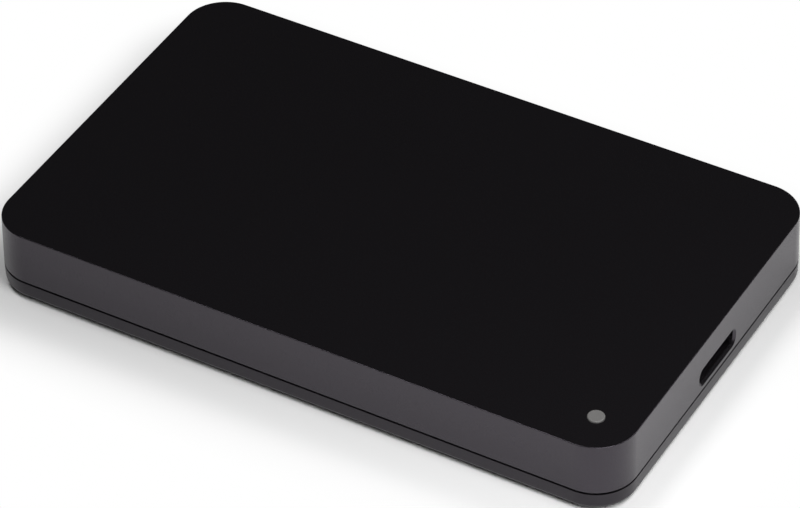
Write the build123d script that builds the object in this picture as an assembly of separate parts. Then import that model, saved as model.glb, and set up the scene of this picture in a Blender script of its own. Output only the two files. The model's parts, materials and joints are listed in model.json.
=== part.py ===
"""Portable external hard drive: two moulded shells round a 2.5 inch drive and its bridge board.

Millimetres. +Z is up, +X points to the data port and the origin is the middle of the resting plane.
The sizes work outwards: the platters set the drive, and the drive and its board set the shells.
"""
from build123d import *
from math import acos, atan2, cos, degrees, radians, sin, sqrt
import os

# Clearances
fit = 0.1                       # between moulded pieces that slide together
slip = 0.03                     # a ring or sleeve on its seat
run = 0.05                      # a shaft turning in its bearing

# Platters and spindle
platter_diameter = 65.0
platter_bore = 20.0
platter_thickness = 0.635
platter_gap = 1.9               # free height between the platters
platter_margin = 1.1            # platter edge to the wall of its well
hub_flange = 1.3                # flange past the platter bore
hub_flange_height = 1.9
hub_wall = 1.07                 # hub skirt round the magnet
hub_step = 0.17                 # hub top below the upper platter's face
hub_web = 1.4
spacer_width = 1.7
shaft_radius = 1.5
clamp_radius = 12.2
clamp_sheet = 0.5
clamp_rise = 0.25               # dish of the clamp's middle
clamp_rim = 1.6
clamp_screw_radius = 1.0
clamp_head_radius = 2.2
clamp_head_height = 0.5
clamp_screw_length = 1.9

# Spindle motor
motor_floor = 1.2               # casting left under the motor
motor_margin = 0.8              # hub flange to the wall of the motor well
sleeve_radius = 3.2
sleeve_step = 1.2               # step that the stator sits on
sleeve_step_height = 1.3
sleeve_bottom = 0.4
sleeve_base_gap = 0.3           # sleeve above the drive's underside
sleeve_shaft_gap = 0.2          # free depth below the shaft
sleeve_head_gap = 0.2           # sleeve below the hub's web
magnet_thickness = 0.9
magnet_height = 2.7
magnet_lift = 0.2               # magnet above the hub's lower edge
air_gap = 0.4                   # stator to magnet
stator_thickness = 1.4
stator_ring = 1.7
tooth_count = 9
tooth_width = 1.1
coil_build = 0.5                # winding thickness on each side of a tooth
coil_length = 1.6

# Head actuator
pivot_gap = 1.34                # arm block clear of the platters
pivot_dy = 11.0                 # pivot from the spindle, across the drive
pivot_to_plug_end = 26.5        # pivot to the connector end of the drive
arm_length = 36.0               # pivot to the heads
arm_reach = 25.0                # pivot to the end of the rigid arms
arm_thickness = 0.65
arm_root_width = 9.6
arm_tip_width = 4.4
arm_window_wall = 1.4
arm_floor_gap = 0.15            # lowest arm above the well's floor
arm_headroom = 0.78             # highest arm below the casting's rim
block_radius = 6.2
beam_thickness = 0.1
beam_width = 3.8
beam_neck = 0.9
beam_overlap = 2.5              # beam lying on its arm
tab_reach = 2.0                 # lift tab past the heads
tab_width = 0.5
slider_length = 1.25
slider_width = 1.0
slider_height = 0.3
fly_gap = 0.1                   # head to platter face
inner_track = 14.5              # head radius at the inner limit
park_gap = 3.5                  # parked head beyond the platter's edge
pivot_shaft_radius = 1.6
pivot_flange = 0.9
pivot_flange_height = 0.2
pivot_top_gap = 0.3             # pivot shaft below the casting's rim
bearing_radius = 3.0
bearing_height = 1.3
bearing_inset = 0.1             # bearing inside the end of the sleeve
pivot_sleeve_wall = 0.96
pivot_sleeve_proud = 0.1        # sleeve above the arm block

# Voice coil motor
coil_inner = 8.6
coil_outer = 18.0
coil_half_angle = 21.0
coil_wire = 2.4                 # width of the wound band
coil_thickness = 1.5
frame_wall = 0.8
yoke_thickness = 0.9
magnet_plate = 0.9
yoke_gap = 0.5                  # yoke clear of the turning arm block
yoke_side_angle = 6.0           # yoke past the swept middle of the coil
yoke_ear = 2.3
post_radius = 1.5
post_gap = 0.6                  # post clear of the coil frame's sweep
yoke_screw_radius = 0.8
yoke_head_radius = 1.5
yoke_head_height = 0.5
stop_radius = 1.0
stop_reach = 13.0               # crash stops from the pivot
stop_gap = 0.3
stop_height = 5.2

# Load ramp, flexible cable and filter
ramp_gap = 0.3                  # ramp clear of the sliders
ramp_disc_gap = 0.5             # ramp clear of the platters
ramp_depth = 3.3
ramp_slot = 1.7                 # depth of the tab slots
ramp_slot_gap = 0.2             # slot above and below its tab
ramp_overrun = 3.5              # degrees of ramp past the parked heads
ramp_cap = 0.6                  # ramp above its highest slot
ramp_foot_radius = 2.5
ramp_foot_thickness = 1.0
ramp_foot_angle = 5.5           # degrees from the ramp's end to its screw
ramp_post_height = 1.6
ramp_screw_radius = 0.8
ramp_head_radius = 1.4
ramp_head_height = 0.5
flex_thickness = 0.15
flex_height = 2.8
flex_angle = -55.0              # where the cable leaves the arm block
flex_sag = 2.2
bracket_dx = 11.0               # cable bracket from the pivot
bracket_dy = -15.5
bracket_length = 6.0
bracket_width = 12.0
bracket_foot = 1.0
bracket_wall = 2.0
filter_length = 7.0
filter_thickness = 1.8
filter_height = 4.0
filter_gap = 0.9                # filter clear of the platters
filter_angle = 45.0             # round the spindle

# Drive casting, cover and board
drive_side_wall = 1.325
side_gap = 0.3                  # yoke and ramp clear of the side walls
drive_end_wall = 1.6
drive_corner = 3.0
drive_floor = 0.75              # casting between the board and the well
well_corner = 2.5
well_gap = 1.1                  # ramp and filter clear of the arm well's end
gasket_thickness = 0.3
gasket_width = 0.7
gasket_inset = 0.2
cover_thickness = 0.5
cover_inset = 0.3
cover_dish_radius = 26.0
cover_dish_depth = 0.3
screw_inset = 3.4               # corner cover screws from both edges
boss_radius = 3.6
dimple_radius = 2.6
dimple_depth = 0.45
cover_screw_radius = 0.95
cover_head_radius = 1.7
cover_head_height = 0.4
cover_screw_length = 3.0
socket_flats = 1.5              # hexagon in the screw heads, across flats
socket_depth = 0.25
front_boss_dx = 4.0             # side screws from the pivot, along the drive
back_boss_dx = -8.0
drive_board_thickness = 0.65
drive_board_start = 14.0        # board edge from the spindle
drive_board_side = 1.0          # board edge from the casting's side
board_screw_length = 2.4
board_head_radius = 1.6
board_head_height = 0.5
drive_chip_height = 0.8
drive_chip_gap = 0.1            # chips above the drive's underside
controller_size = 11.0
memory_length = 10.0
memory_width = 7.0
motor_chip_size = 7.0
chip_pitch = 15.0

# Drive connector and the socket that takes it
plug_offset = -10.0             # connector centre from the drive's middle
plug_width = 42.0
plug_height = 3.9
plug_depth = 8.7
plug_back = 3.6
plug_tower = 3.3
blade_thickness = 1.23
blade_setback = 0.5             # blades inside the end of the drive
signal_width = 10.4
power_width = 20.7
blade_space = 2.3
key_width = 1.2
key_drop = 1.0
plug_fit = 0.2
contact_pitch = 1.27
signal_contacts = 7
power_contacts = 15
contact_width = 0.7
contact_thickness = 0.1
socket_nose_height = 3.2
socket_flange_height = 4.4
socket_flange_width = 38.0
socket_flange_gap = 0.3         # flange outside the drive
tail_length = 1.6
tail_width = 0.5

# Bridge board
board_zone = 24.8               # drive end to the inside of the port wall
board_gap = 1.8                 # drive end to the board
board_margin = 0.8              # board edge to the shell wall
board_thickness = 0.8
board_drop = 0.3                # board face below the connector's centre
bridge_chip_size = 8.0
bridge_chip_height = 0.9
firmware_length = 5.0
firmware_width = 4.0
firmware_height = 1.5
crystal_length = 3.2
crystal_width = 2.5
crystal_height = 0.8
inductor_size = 4.0
inductor_height = 1.8
capacitor_length = 1.6
capacitor_width = 0.8
capacitor_height = 0.8
capacitor_count = 6
resistor_length = 1.0
resistor_width = 0.5
resistor_height = 0.35
resistor_count = 8
passive_pitch = 2.4
lamp_chip_length = 1.6
lamp_chip_width = 1.2
lamp_chip_height = 0.6

# Data port
port_width = 13.7
port_height = 3.2
port_corner = 1.2
port_lead = 0.45                # bevelled edge round the opening
port_setback = 1.6              # socket mouth inside the shell's end
port_depth = 5.4
port_metal = 0.25
lobe_height = 2.0
wide_lobe = 7.0
narrow_lobe = 4.6
lobe_gap = 0.6
lobe_cut = 0.6
lobe_round = 0.5
neck_height = 0.9
port_back = 1.6                 # solid rear of the insulator
tongue_thickness = 0.6
tongue_inset = 1.2              # lobe side to tongue side
tongue_setback = 0.9            # tongue inside the mouth
tongue_lift = 0.2
port_pins = 5
pin_width = 0.3
pin_thickness = 0.12
port_foot_width = 1.2
port_foot_length = 2.0

# Shells
wall = 1.9
lid_wall = 1.8
floor_wall = 1.6
side_pad = 2.775                # drive side to shell wall
end_pad = 1.2                   # drive end to shell wall
drive_pad = 0.8                 # buffer above and below the drive
corner_radius = 8.1
draft = 0.94                    # degrees, each shell from the parting line
parting_height = 3.7            # above the lower shell's underside
reveal = 0.4                    # open line between the shells
lid_edge = 0.12
floor_edge = 1.1
lip_thickness = 0.9
lip_height = 1.5
port_lip_margin = 1.0           # lip cut down beside the port
hook_count = 3
hook_pitch = 26.0
hook_width = 6.0
hook_thickness = 1.0
hook_barb = 0.6
hook_barb_height = 1.2
ledge_depth = 0.8
ledge_height = 0.8
ledge_rise = 0.4                # ledge above the lip
rib_count = 5
rib_pitch = 10.0
rib_width = 1.0
rib_gap = 0.2                   # rib above the drive
rib_margin = 3.0                # rib ends from the buffers
board_post_radius = 2.2
board_pin_radius = 0.9
board_pin_height = 1.2          # pin above the board
board_post_dx = 4.0             # rear posts from the board's edge
board_post_inset = 6.5          # rear posts from the shell wall

# Lamp, feet and buffers
lamp_radius = 1.6
lamp_proud = 0.3
lamp_round = 0.25
guide_flange = 0.9
guide_flange_height = 0.8
guide_stem_radius = 1.3
guide_gap = 0.3                 # stem above the lamp chip
collar_wall = 1.0
collar_height = 2.0
foot_radius = 4.0
foot_proud = 0.6
foot_recess = 0.4
foot_edge = 0.2
foot_inset = 14.0
buffer_length = 12.0
buffer_return = 12.0            # buffers at the blind end, along the drive's end
buffer_tab = 3.0                # buffers at the plug end, clear of the plug

# Heights
z_under = foot_proud
z_floor = z_under + floor_wall
z_drive = z_floor + drive_pad
z_drive_board = z_drive + drive_chip_gap + drive_chip_height
z_casting = z_drive_board + drive_board_thickness
z_well = z_casting + drive_floor
head_stack = beam_thickness + slider_height + fly_gap
z_low_arm = z_well + arm_floor_gap
z_low_platter = z_low_arm + arm_thickness + head_stack
z_high_platter = z_low_platter + platter_thickness + platter_gap
z_clamp = z_high_platter + platter_thickness
z_mid_arm = z_low_platter + platter_thickness + head_stack
z_mid_arm_top = z_high_platter - head_stack
z_high_arm = z_clamp + head_stack
z_arm_top = z_high_arm + arm_thickness
z_rim = z_arm_top + arm_headroom
z_cover = z_rim + gasket_thickness
z_drive_top = z_cover + cover_thickness
z_ceiling = z_drive_top + drive_pad
z_top = z_ceiling + lid_wall
z_parting = z_under + parting_height
z_low_rim = z_parting - reveal / 2
z_high_rim = z_parting + reveal / 2
z_lip = z_high_rim + lip_height
z_plug = z_casting + plug_height / 2
z_board = z_plug - board_drop
z_port = z_board + port_metal + lobe_height / 2
z_motor = z_drive + motor_floor
z_hub = z_low_platter - hub_flange_height
z_web = z_clamp - hub_step - hub_web
z_stator = z_motor + sleeve_step_height
z_coil = (z_low_arm + z_arm_top - coil_thickness) / 2
beam_levels = (
    z_low_arm + arm_thickness,
    z_mid_arm - beam_thickness,
    z_mid_arm_top,
    z_high_arm - beam_thickness,
)

# Arm angles about the pivot, in degrees
platter_radius = platter_diameter / 2
pivot_span = platter_radius + pivot_gap + block_radius
pivot_dx = sqrt(pivot_span ** 2 - pivot_dy ** 2)
spindle_angle = degrees(atan2(-pivot_dy, -pivot_dx))


def arm_angle(head_radius, length):
    """Direction of a point this far out on the arm when it lies at a radius from the spindle."""
    cosine = (pivot_span ** 2 + length ** 2 - head_radius ** 2) / (2 * pivot_span * length)
    return spindle_angle + degrees(acos(cosine))


park_angle = arm_angle(platter_radius + park_gap, arm_length)
inner_angle = arm_angle(inner_track, arm_length)
frame_outer = coil_outer + frame_wall
frame_half_angle = coil_half_angle + degrees(frame_wall / coil_outer)
yoke_start = inner_angle + 180 - yoke_side_angle
yoke_stop = park_angle + 180 + yoke_side_angle
post_reach = frame_outer + post_gap + post_radius
ramp_inner = arm_length + slider_length / 2 + ramp_gap
ramp_outer = ramp_inner + ramp_depth
ramp_start = arm_angle(platter_radius + ramp_disc_gap, ramp_inner)
ramp_stop = park_angle + ramp_overrun
ramp_foot_reach = (ramp_inner + ramp_outer) / 2

# Room that the platters, the yoke, the ramp and the filter need round the spindle
yoke_side = pivot_dy + post_reach * sin(radians(park_angle + 180)) + yoke_ear
ramp_side = -pivot_dy - ramp_foot_reach * sin(radians(ramp_stop + ramp_foot_angle)) + ramp_foot_radius
well_side = max(platter_radius + platter_margin, yoke_side + side_gap, ramp_side + side_gap)
filter_reach = platter_radius + filter_gap + filter_thickness / 2
filter_start = (filter_reach - filter_thickness / 2) * cos(radians(filter_angle))
filter_start -= filter_length / 2 * sin(radians(filter_angle))
arm_well_start = min(filter_start, pivot_dx + ramp_outer * cos(radians(ramp_start))) - well_gap

# Places along and across
drive_half = well_side + drive_side_wall
drive_width = 2 * drive_half
drive_length = drive_end_wall + platter_margin + platter_radius + pivot_dx + pivot_to_plug_end
case_length = 2 * wall + end_pad + drive_length + board_zone
case_width = drive_width + 2 * (side_pad + wall)
half_length = case_length / 2
half_width = case_width / 2
inner_end = half_length - wall
inner_side = half_width - wall
drive_x0 = -inner_end + end_pad
drive_x1 = drive_x0 + drive_length
drive_middle = (drive_x0 + drive_x1) / 2
spindle_x = drive_x0 + drive_end_wall + platter_margin + platter_radius
pivot_x = spindle_x + pivot_dx
pivot_y = pivot_dy
plug_x0 = drive_x1 - plug_depth
plug_front = plug_x0 + plug_back
board_x0 = drive_x1 + board_gap
board_x1 = inner_end - board_margin
port_mouth = half_length - port_setback
lamp_x = half_length - corner_radius
lamp_y = -(half_width - corner_radius)
hub_radius = platter_bore / 2 - slip
magnet_outer = hub_radius - hub_wall
magnet_inner = magnet_outer - magnet_thickness
stator_radius = magnet_inner - air_gap


def slab(sketch, bottom, top):
    """A flat sketch raised between two heights."""
    return Pos(0, 0, bottom) * extrude(sketch, top - bottom, dir=(0, 0, 1))


def block(x0, x1, y0, y1, z0, z1):
    """A box between its limits on each axis."""
    return Pos(x0, y0, z0) * Box(x1 - x0, y1 - y0, z1 - z0, align=(Align.MIN, Align.MIN, Align.MIN))


def disc(radius, bottom, top, x=0.0, y=0.0):
    """An upright cylinder between two heights."""
    return slab(Pos(x, y) * Circle(radius), bottom, top)


def ring(outer, inner, bottom, top, x=0.0, y=0.0):
    """An upright tube between two heights."""
    return slab(Pos(x, y) * (Circle(outer) - Circle(inner)), bottom, top)


def fan(inner, outer, start, stop):
    """Sketch of a ring sector between two angles about the origin."""
    outside = CenterArc((0, 0), outer, start, stop - start)
    inside = CenterArc((0, 0), inner, start, stop - start)
    sides = [Line(inside @ 0, outside @ 0), Line(inside @ 1, outside @ 1)]
    return make_face([outside, inside, *sides])


def polar(radius, angle):
    """A point about the pivot, in the drive's plan."""
    return pivot_x + radius * cos(radians(angle)), pivot_y + radius * sin(radians(angle))


def at_pivot(sketch, angle=0.0):
    """A sketch drawn about the pivot, turned to an angle."""
    return Pos(pivot_x, pivot_y) * Rot(0, 0, angle) * sketch


def screw(x, y, seat, head_radius, head_height, radius, length):
    """A screw whose head stands on a seat, with a hexagon socket and its shank pointing down."""
    body = disc(head_radius, seat, seat + head_height, x, y) + disc(radius, seat - length, seat, x, y)
    socket = Pos(x, y) * RegularPolygon(socket_flats / 2, 6, major_radius=False)
    return body - slab(socket, seat + head_height - socket_depth, seat + head_height)


def outline(inset):
    """Plan of the shells, drawn in by an inset."""
    return RectangleRounded(case_length - 2 * inset, case_width - 2 * inset, corner_radius - inset)


# Shells


def hook_places():
    """Middle of each snap hook: along the case, then which side."""
    first = drive_middle - hook_pitch * (hook_count - 1) / 2
    return [(first + i * hook_pitch, side) for i in range(hook_count) for side in (-1, 1)]


def post_places():
    """Posts that hold the bridge board: two beside the drive and one across from the lamp."""
    rear = board_x0 + board_post_dx
    side = inner_side - board_post_inset
    return [(rear, side), (rear, -side), (lamp_x, -lamp_y)]


def hook(x, side):
    """A springy tab from the floor, with a sloped barb that catches the lid's ledge."""
    face = inner_side - ledge_depth - fit
    catch = z_lip + ledge_rise + ledge_height + fit
    tip = catch + hook_barb_height
    points = [
        (face - hook_thickness, z_floor - floor_wall / 2),
        (face, z_floor - floor_wall / 2),
        (face, catch),
        (face + hook_barb, catch),
        (face, tip),
        (face - hook_thickness, tip),
    ]
    tab = extrude(Plane.YZ * Polygon(*points, align=None), hook_width / 2, both=True)
    return Pos(x, 0, 0) * (tab if side > 0 else mirror(tab, Plane.XZ))


def ledge(x, side):
    """The catch inside the lid that a hook snaps over."""
    half = hook_width / 2 + 2 * fit
    bottom = z_lip + ledge_rise
    near, far = sorted((side * (inner_side - ledge_depth), side * (inner_side + wall / 2)))
    return block(x - half, x + half, near, far, bottom, bottom + ledge_height)


def top_cover():
    body = Pos(0, 0, z_high_rim) * extrude(outline(0), z_top - z_high_rim, taper=draft)
    body = fillet(body.faces().sort_by(Axis.Z)[-1].edges(), lid_edge)
    body -= slab(outline(wall), z_high_rim, z_ceiling)
    body -= slab(outline(wall - lip_thickness - fit), z_high_rim, z_lip + fit)
    for x, side in hook_places():
        body += ledge(x, side)
    rib_x0 = drive_x0 + buffer_length + rib_margin
    rib_x1 = drive_x1 - buffer_length - rib_margin
    for i in range(rib_count):
        y = (i - (rib_count - 1) / 2) * rib_pitch
        bottom = z_drive_top + rib_gap
        body += block(rib_x0, rib_x1, y - rib_width / 2, y + rib_width / 2, bottom, z_ceiling + fit)
    for x, y in post_places():
        body += disc(board_post_radius, z_board, z_ceiling + fit, x, y)
        body -= disc(board_pin_radius + fit, z_board, z_board + board_pin_height + fit, x, y)
    flange = lamp_radius + guide_flange + fit
    body += ring(flange + collar_wall, flange, z_ceiling - collar_height, z_ceiling + fit, lamp_x, lamp_y)
    body -= disc(lamp_radius + run, z_ceiling, z_top + lid_wall, lamp_x, lamp_y)
    mouth = Plane.YZ * RectangleRounded(port_width, port_height, port_corner)
    body -= Pos(inner_end - wall, 0, z_port) * extrude(mouth, 3 * wall)
    front = body.faces().filter_by(GeomType.PLANE).sort_by(Axis.X)[-1]
    return chamfer(front.inner_wires()[0].edges(), port_lead)


def bottom_cover():
    down = Rot(180, 0, 0) * outline(0)
    body = Pos(0, 0, z_low_rim) * extrude(down, z_low_rim - z_under, taper=draft)
    body = fillet(body.faces().sort_by(Axis.Z)[0].edges(), floor_edge)
    body -= slab(outline(wall), z_floor, z_low_rim)
    body += slab(outline(wall - lip_thickness) - outline(wall), z_low_rim, z_lip)
    half = port_width / 2 + port_lip_margin
    sill = z_port - port_height / 2 - fit
    body -= block(inner_end - fit, half_length, -half, half, sill, z_lip)
    for x, side in hook_places():
        body += hook(x, side)
    for x, y in post_places():
        body += disc(board_post_radius, z_floor - floor_wall / 2, z_board - board_thickness, x, y)
        body += disc(board_pin_radius, z_board - board_thickness, z_board + board_pin_height, x, y)
    for x, y in foot_places():
        body -= disc(foot_radius + fit, z_under, z_under + foot_recess, x, y)
    return body


def foot_places():
    x = half_length - foot_inset
    y = half_width - foot_inset
    return [(x, y), (x, -y), (-x, y), (-x, -y)]


def rubber_feet():
    feet = []
    for x, y in foot_places():
        foot = disc(foot_radius, 0, foot_proud + foot_recess, x, y)
        feet.append(chamfer(foot.faces().sort_by(Axis.Z)[0].edges(), foot_edge))
    return Compound(feet)


def light_guide():
    """Milky cap through the lid, a flange under it and a stem down to the lamp chip."""
    cap = disc(lamp_radius, z_ceiling, z_top + lamp_proud, lamp_x, lamp_y)
    cap = fillet(cap.faces().sort_by(Axis.Z)[-1].edges(), lamp_round)
    seat = z_ceiling - guide_flange_height
    flange = disc(lamp_radius + guide_flange, seat, z_ceiling, lamp_x, lamp_y)
    stem = disc(guide_stem_radius, z_board + lamp_chip_height + guide_gap, seat, lamp_x, lamp_y)
    return cap + flange + stem


def corner_buffers():
    """Rubber corners that wrap the drive's edges and fill the room to the shells."""
    room = slab(outline(wall + fit), z_floor, z_ceiling)
    drive = block(drive_x0, drive_x1, -drive_half, drive_half, z_drive, z_drive_top)
    rear = (-inner_end, drive_x0 + buffer_length, drive_half - buffer_return)
    front = (drive_x1 - buffer_length, drive_x1 + end_pad, drive_half - buffer_tab)
    pieces = []
    for x0, x1, y in (rear, front):
        pieces.append((block(x0, x1, y, half_width, z_floor, z_ceiling) & room) - drive)
        pieces.append((block(x0, x1, -half_width, -y, z_floor, z_ceiling) & room) - drive)
    return Compound(pieces)


# Bridge board and data port


def bridge_board():
    plate = slab(outline(wall + board_margin), z_board - board_thickness, z_board)
    plate &= block(board_x0, half_length, -half_width, half_width, z_floor, z_top)
    for x, y in post_places():
        plate -= disc(board_pin_radius + fit, z_floor, z_top, x, y)
    return plate


def lobe_places():
    """Centre across the port and width of its two lobes."""
    total = wide_lobe + lobe_gap + narrow_lobe
    return [((wide_lobe - total) / 2, wide_lobe), ((total - narrow_lobe) / 2, narrow_lobe)]


def port_mouth_sketch():
    """Inside of the socket from its end: a wide lobe with cut lower corners beside a narrow one."""
    (wide_y, _), (narrow_y, _) = lobe_places()
    wide = Rectangle(wide_lobe, lobe_height)
    wide = chamfer(wide.vertices().group_by(Axis.Y)[0], lobe_cut)
    narrow = RectangleRounded(narrow_lobe, lobe_height, lobe_round)
    neck_y = wide_y + wide_lobe / 2 + lobe_gap / 2
    neck = Rectangle(lobe_gap + 2 * lobe_round, neck_height)
    return Pos(wide_y, 0) * wide + Pos(narrow_y, 0) * narrow + Pos(neck_y, 0) * neck


def port_shell():
    """Folded metal tube of the socket, with two feet soldered to the board."""
    tube = offset(port_mouth_sketch(), port_metal) - port_mouth_sketch()
    body = Pos(port_mouth - port_depth, 0, z_port) * extrude(Plane.YZ * tube, port_depth)
    (wide_y, _), (narrow_y, _) = lobe_places()
    left = wide_y - wide_lobe / 2 - port_metal
    right = narrow_y + narrow_lobe / 2 + port_metal
    x1 = board_x1 - port_metal
    bottom = z_port - lobe_height / 2 - port_metal
    top = z_port
    for y, away in ((left, -1), (right, 1)):
        near, far = sorted((y - away * port_metal / 2, y + away * port_foot_width))
        body += block(x1 - port_foot_length, x1, near, far, bottom, bottom + port_metal)
        low, high = sorted((y - away * port_metal / 2, y + away * port_metal))
        body += block(x1 - port_foot_length, x1, low, high, bottom, top)
    return body


def port_tongue():
    """Insulator: a plug that fills the rear of the socket, with a tongue in each lobe."""
    rear = offset(port_mouth_sketch(), -slip)
    x0 = port_mouth - port_depth
    body = Pos(x0, 0, z_port) * extrude(Plane.YZ * rear, port_back)
    for y, width in lobe_places():
        half = width / 2 - tongue_inset
        z0 = z_port + tongue_lift
        body += block(x0, port_mouth - tongue_setback, y - half, y + half, z0, z0 + tongue_thickness)
    return body


def port_contacts():
    """Spring contacts on the underside of both tongues."""
    x0 = port_mouth - port_depth + port_back
    x1 = port_mouth - tongue_setback - port_metal
    top = z_port + tongue_lift
    strips = []
    for y, width in lobe_places():
        pitch = (width - 2 * tongue_inset - pin_width - 2 * fit) / (port_pins - 1)
        for i in range(port_pins):
            middle = y + (i - (port_pins - 1) / 2) * pitch
            strips.append(block(x0, x1, middle - pin_width / 2, middle + pin_width / 2,
                                top - pin_thickness, top))
    return Compound(strips)


def blade_places():
    """Centre across the case, width and contact count of each connector blade."""
    total = signal_width + blade_space + power_width
    signal_y = plug_offset - total / 2 + signal_width / 2
    power_y = plug_offset + total / 2 - power_width / 2
    return [(signal_y, signal_width, signal_contacts), (power_y, power_width, power_contacts)]


def blades(grow):
    """Ends of the two L-shaped blades, grown all round by a clearance."""
    shape = Sketch()
    for y, width, _ in blade_places():
        shape += Pos(y, 0) * Rectangle(width + 2 * grow, blade_thickness + 2 * grow)
        key_y = y + width / 2 - key_width / 2
        key_z = -(blade_thickness + key_drop) / 2
        shape += Pos(key_y, key_z) * Rectangle(key_width + 2 * grow, key_drop + 2 * grow)
    return Plane.YZ * shape


def contact_rows():
    """Middle of each contact across the case."""
    places = []
    for y, _, count in blade_places():
        places += [y + (i - (count - 1) / 2) * contact_pitch for i in range(count)]
    return places


def board_socket():
    """Housing on the board's edge whose nose goes into the drive, round the blades."""
    half_nose = plug_width / 2 - plug_tower - plug_fit
    half_flange = socket_flange_width / 2
    nose_x0 = plug_front + plug_fit
    flange_x0 = drive_x1 + socket_flange_gap
    low = z_plug - socket_nose_height / 2
    high = z_plug + socket_nose_height / 2
    body = block(nose_x0, flange_x0, plug_offset - half_nose, plug_offset + half_nose, low, high)
    low = z_plug - socket_flange_height / 2
    high = z_plug + socket_flange_height / 2
    body += block(flange_x0, board_x0, plug_offset - half_flange, plug_offset + half_flange, low, high)
    depth = drive_x1 - blade_setback + plug_fit - nose_x0
    return body - Pos(nose_x0, 0, z_plug) * extrude(blades(plug_fit), depth)


def board_socket_contacts():
    """Tails soldered to the board behind the socket."""
    half = tail_width / 2
    x1 = board_x0 + tail_length
    return Compound([block(board_x0, x1, y - half, y + half, z_board, z_board + contact_thickness)
                     for y in contact_rows()])


def chip(x, y, length, width, bottom, height):
    """A moulded chip with its first corner cut."""
    plan = Rectangle(length, width)
    plan = chamfer(plan.vertices().sort_by(Axis.X).group_by(Axis.X)[0][0], min(length, width) / 8)
    return slab(Pos(x, y) * plan, bottom, bottom + height)


def bridge_chip():
    return chip((board_x0 + board_x1) / 2, 0, bridge_chip_size, bridge_chip_size,
                z_board, bridge_chip_height)


def firmware_chip():
    y = bridge_chip_size / 2 + firmware_width
    return chip((board_x0 + board_x1) / 2, y, firmware_length, firmware_width, z_board, firmware_height)


def board_crystal():
    y = -bridge_chip_size / 2 - crystal_length
    can = RectangleRounded(crystal_length, crystal_width, crystal_width / 6)
    return slab(Pos((board_x0 + board_x1) / 2, y) * can, z_board, z_board + crystal_height)


def board_inductor():
    y = bridge_chip_size / 2 + 2 * firmware_width + inductor_size
    core = RectangleRounded(inductor_size, inductor_size, inductor_size / 8)
    return slab(Pos((board_x0 + board_x1) / 2, y) * core, z_board, z_board + inductor_height)


def passive_row(count, x, length, width, height):
    """A row of small parts across the board, centred behind the port."""
    pieces = []
    for i in range(count):
        y = (i - (count - 1) / 2) * passive_pitch
        pieces.append(block(x - width / 2, x + width / 2, y - length / 2, y + length / 2,
                            z_board, z_board + height))
    return Compound(pieces)


def board_capacitors():
    x = (board_x0 + board_x1) / 2 + bridge_chip_size / 2 + capacitor_width
    return passive_row(capacitor_count, x, capacitor_length, capacitor_width, capacitor_height)


def board_resistors():
    x = (board_x0 + board_x1) / 2 - bridge_chip_size / 2 - 2 * resistor_width
    return passive_row(resistor_count, x, resistor_length, resistor_width, resistor_height)


def activity_lamp():
    """Lamp chip on the board: a base and a clear window, straight under the light guide."""
    middle = z_board + lamp_chip_height / 2
    base = Pos(lamp_x, lamp_y) * Rectangle(lamp_chip_length, lamp_chip_width)
    base = slab(base, z_board, middle)
    window = disc(lamp_chip_width / 2, middle, z_board + lamp_chip_height, lamp_x, lamp_y)
    return base + window


# Drive casting, cover and board


def cover_screw_places():
    """Four corner screws and one on each side."""
    x0, x1 = drive_x0 + screw_inset, drive_x1 - screw_inset
    y = drive_half - screw_inset
    sides = [(pivot_x + back_boss_dx, y), (pivot_x + front_boss_dx, -y)]
    return [(x0, y), (x0, -y), (x1, y), (x1, -y), *sides]


def board_screw_places():
    """Screws of the drive's board, under three of the cover's bosses."""
    return [cover_screw_places()[i] for i in (2, 4, 5)]


def drive_outline(inset):
    plan = RectangleRounded(drive_length - 2 * inset, drive_width - 2 * inset, drive_corner - inset)
    return Pos(drive_middle, 0) * plan


def well():
    """Plan of the drive's open inside: the platter well, the arm well and the voice coil's corner."""
    x0 = spindle_x + arm_well_start
    x1 = plug_x0 - drive_end_wall
    x2 = drive_x1 - drive_end_wall
    y0 = plug_offset + plug_width / 2 + drive_side_wall
    arm_well = Pos((x0 + x1) / 2, 0) * RectangleRounded(x1 - x0, 2 * well_side, well_corner)
    corner = RectangleRounded(x2 - x0, well_side - y0, well_corner)
    corner = Pos((x0 + x2) / 2, (y0 + well_side) / 2) * corner
    plan = arm_well + corner
    for x, y in cover_screw_places():
        plan -= Pos(x, y) * Circle(boss_radius)
        reach = drive_half - abs(y)
        plan -= Pos(x, y + (reach if y > 0 else -reach) / 2) * Rectangle(2 * boss_radius, reach)
    return plan + Pos(spindle_x, 0) * Circle(platter_radius + platter_margin)


def drive_board_plan(grow):
    """Plan of the drive's board, with a bay round the motor."""
    x0 = spindle_x + drive_board_start - grow
    x1 = drive_x1 - blade_setback + grow
    side = drive_half - drive_board_side + grow
    bay = hub_radius + hub_flange + motor_margin + drive_board_side - grow
    return Pos((x0 + x1) / 2, 0) * Rectangle(x1 - x0, 2 * side) - Pos(spindle_x, 0) * Circle(bay)


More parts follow.
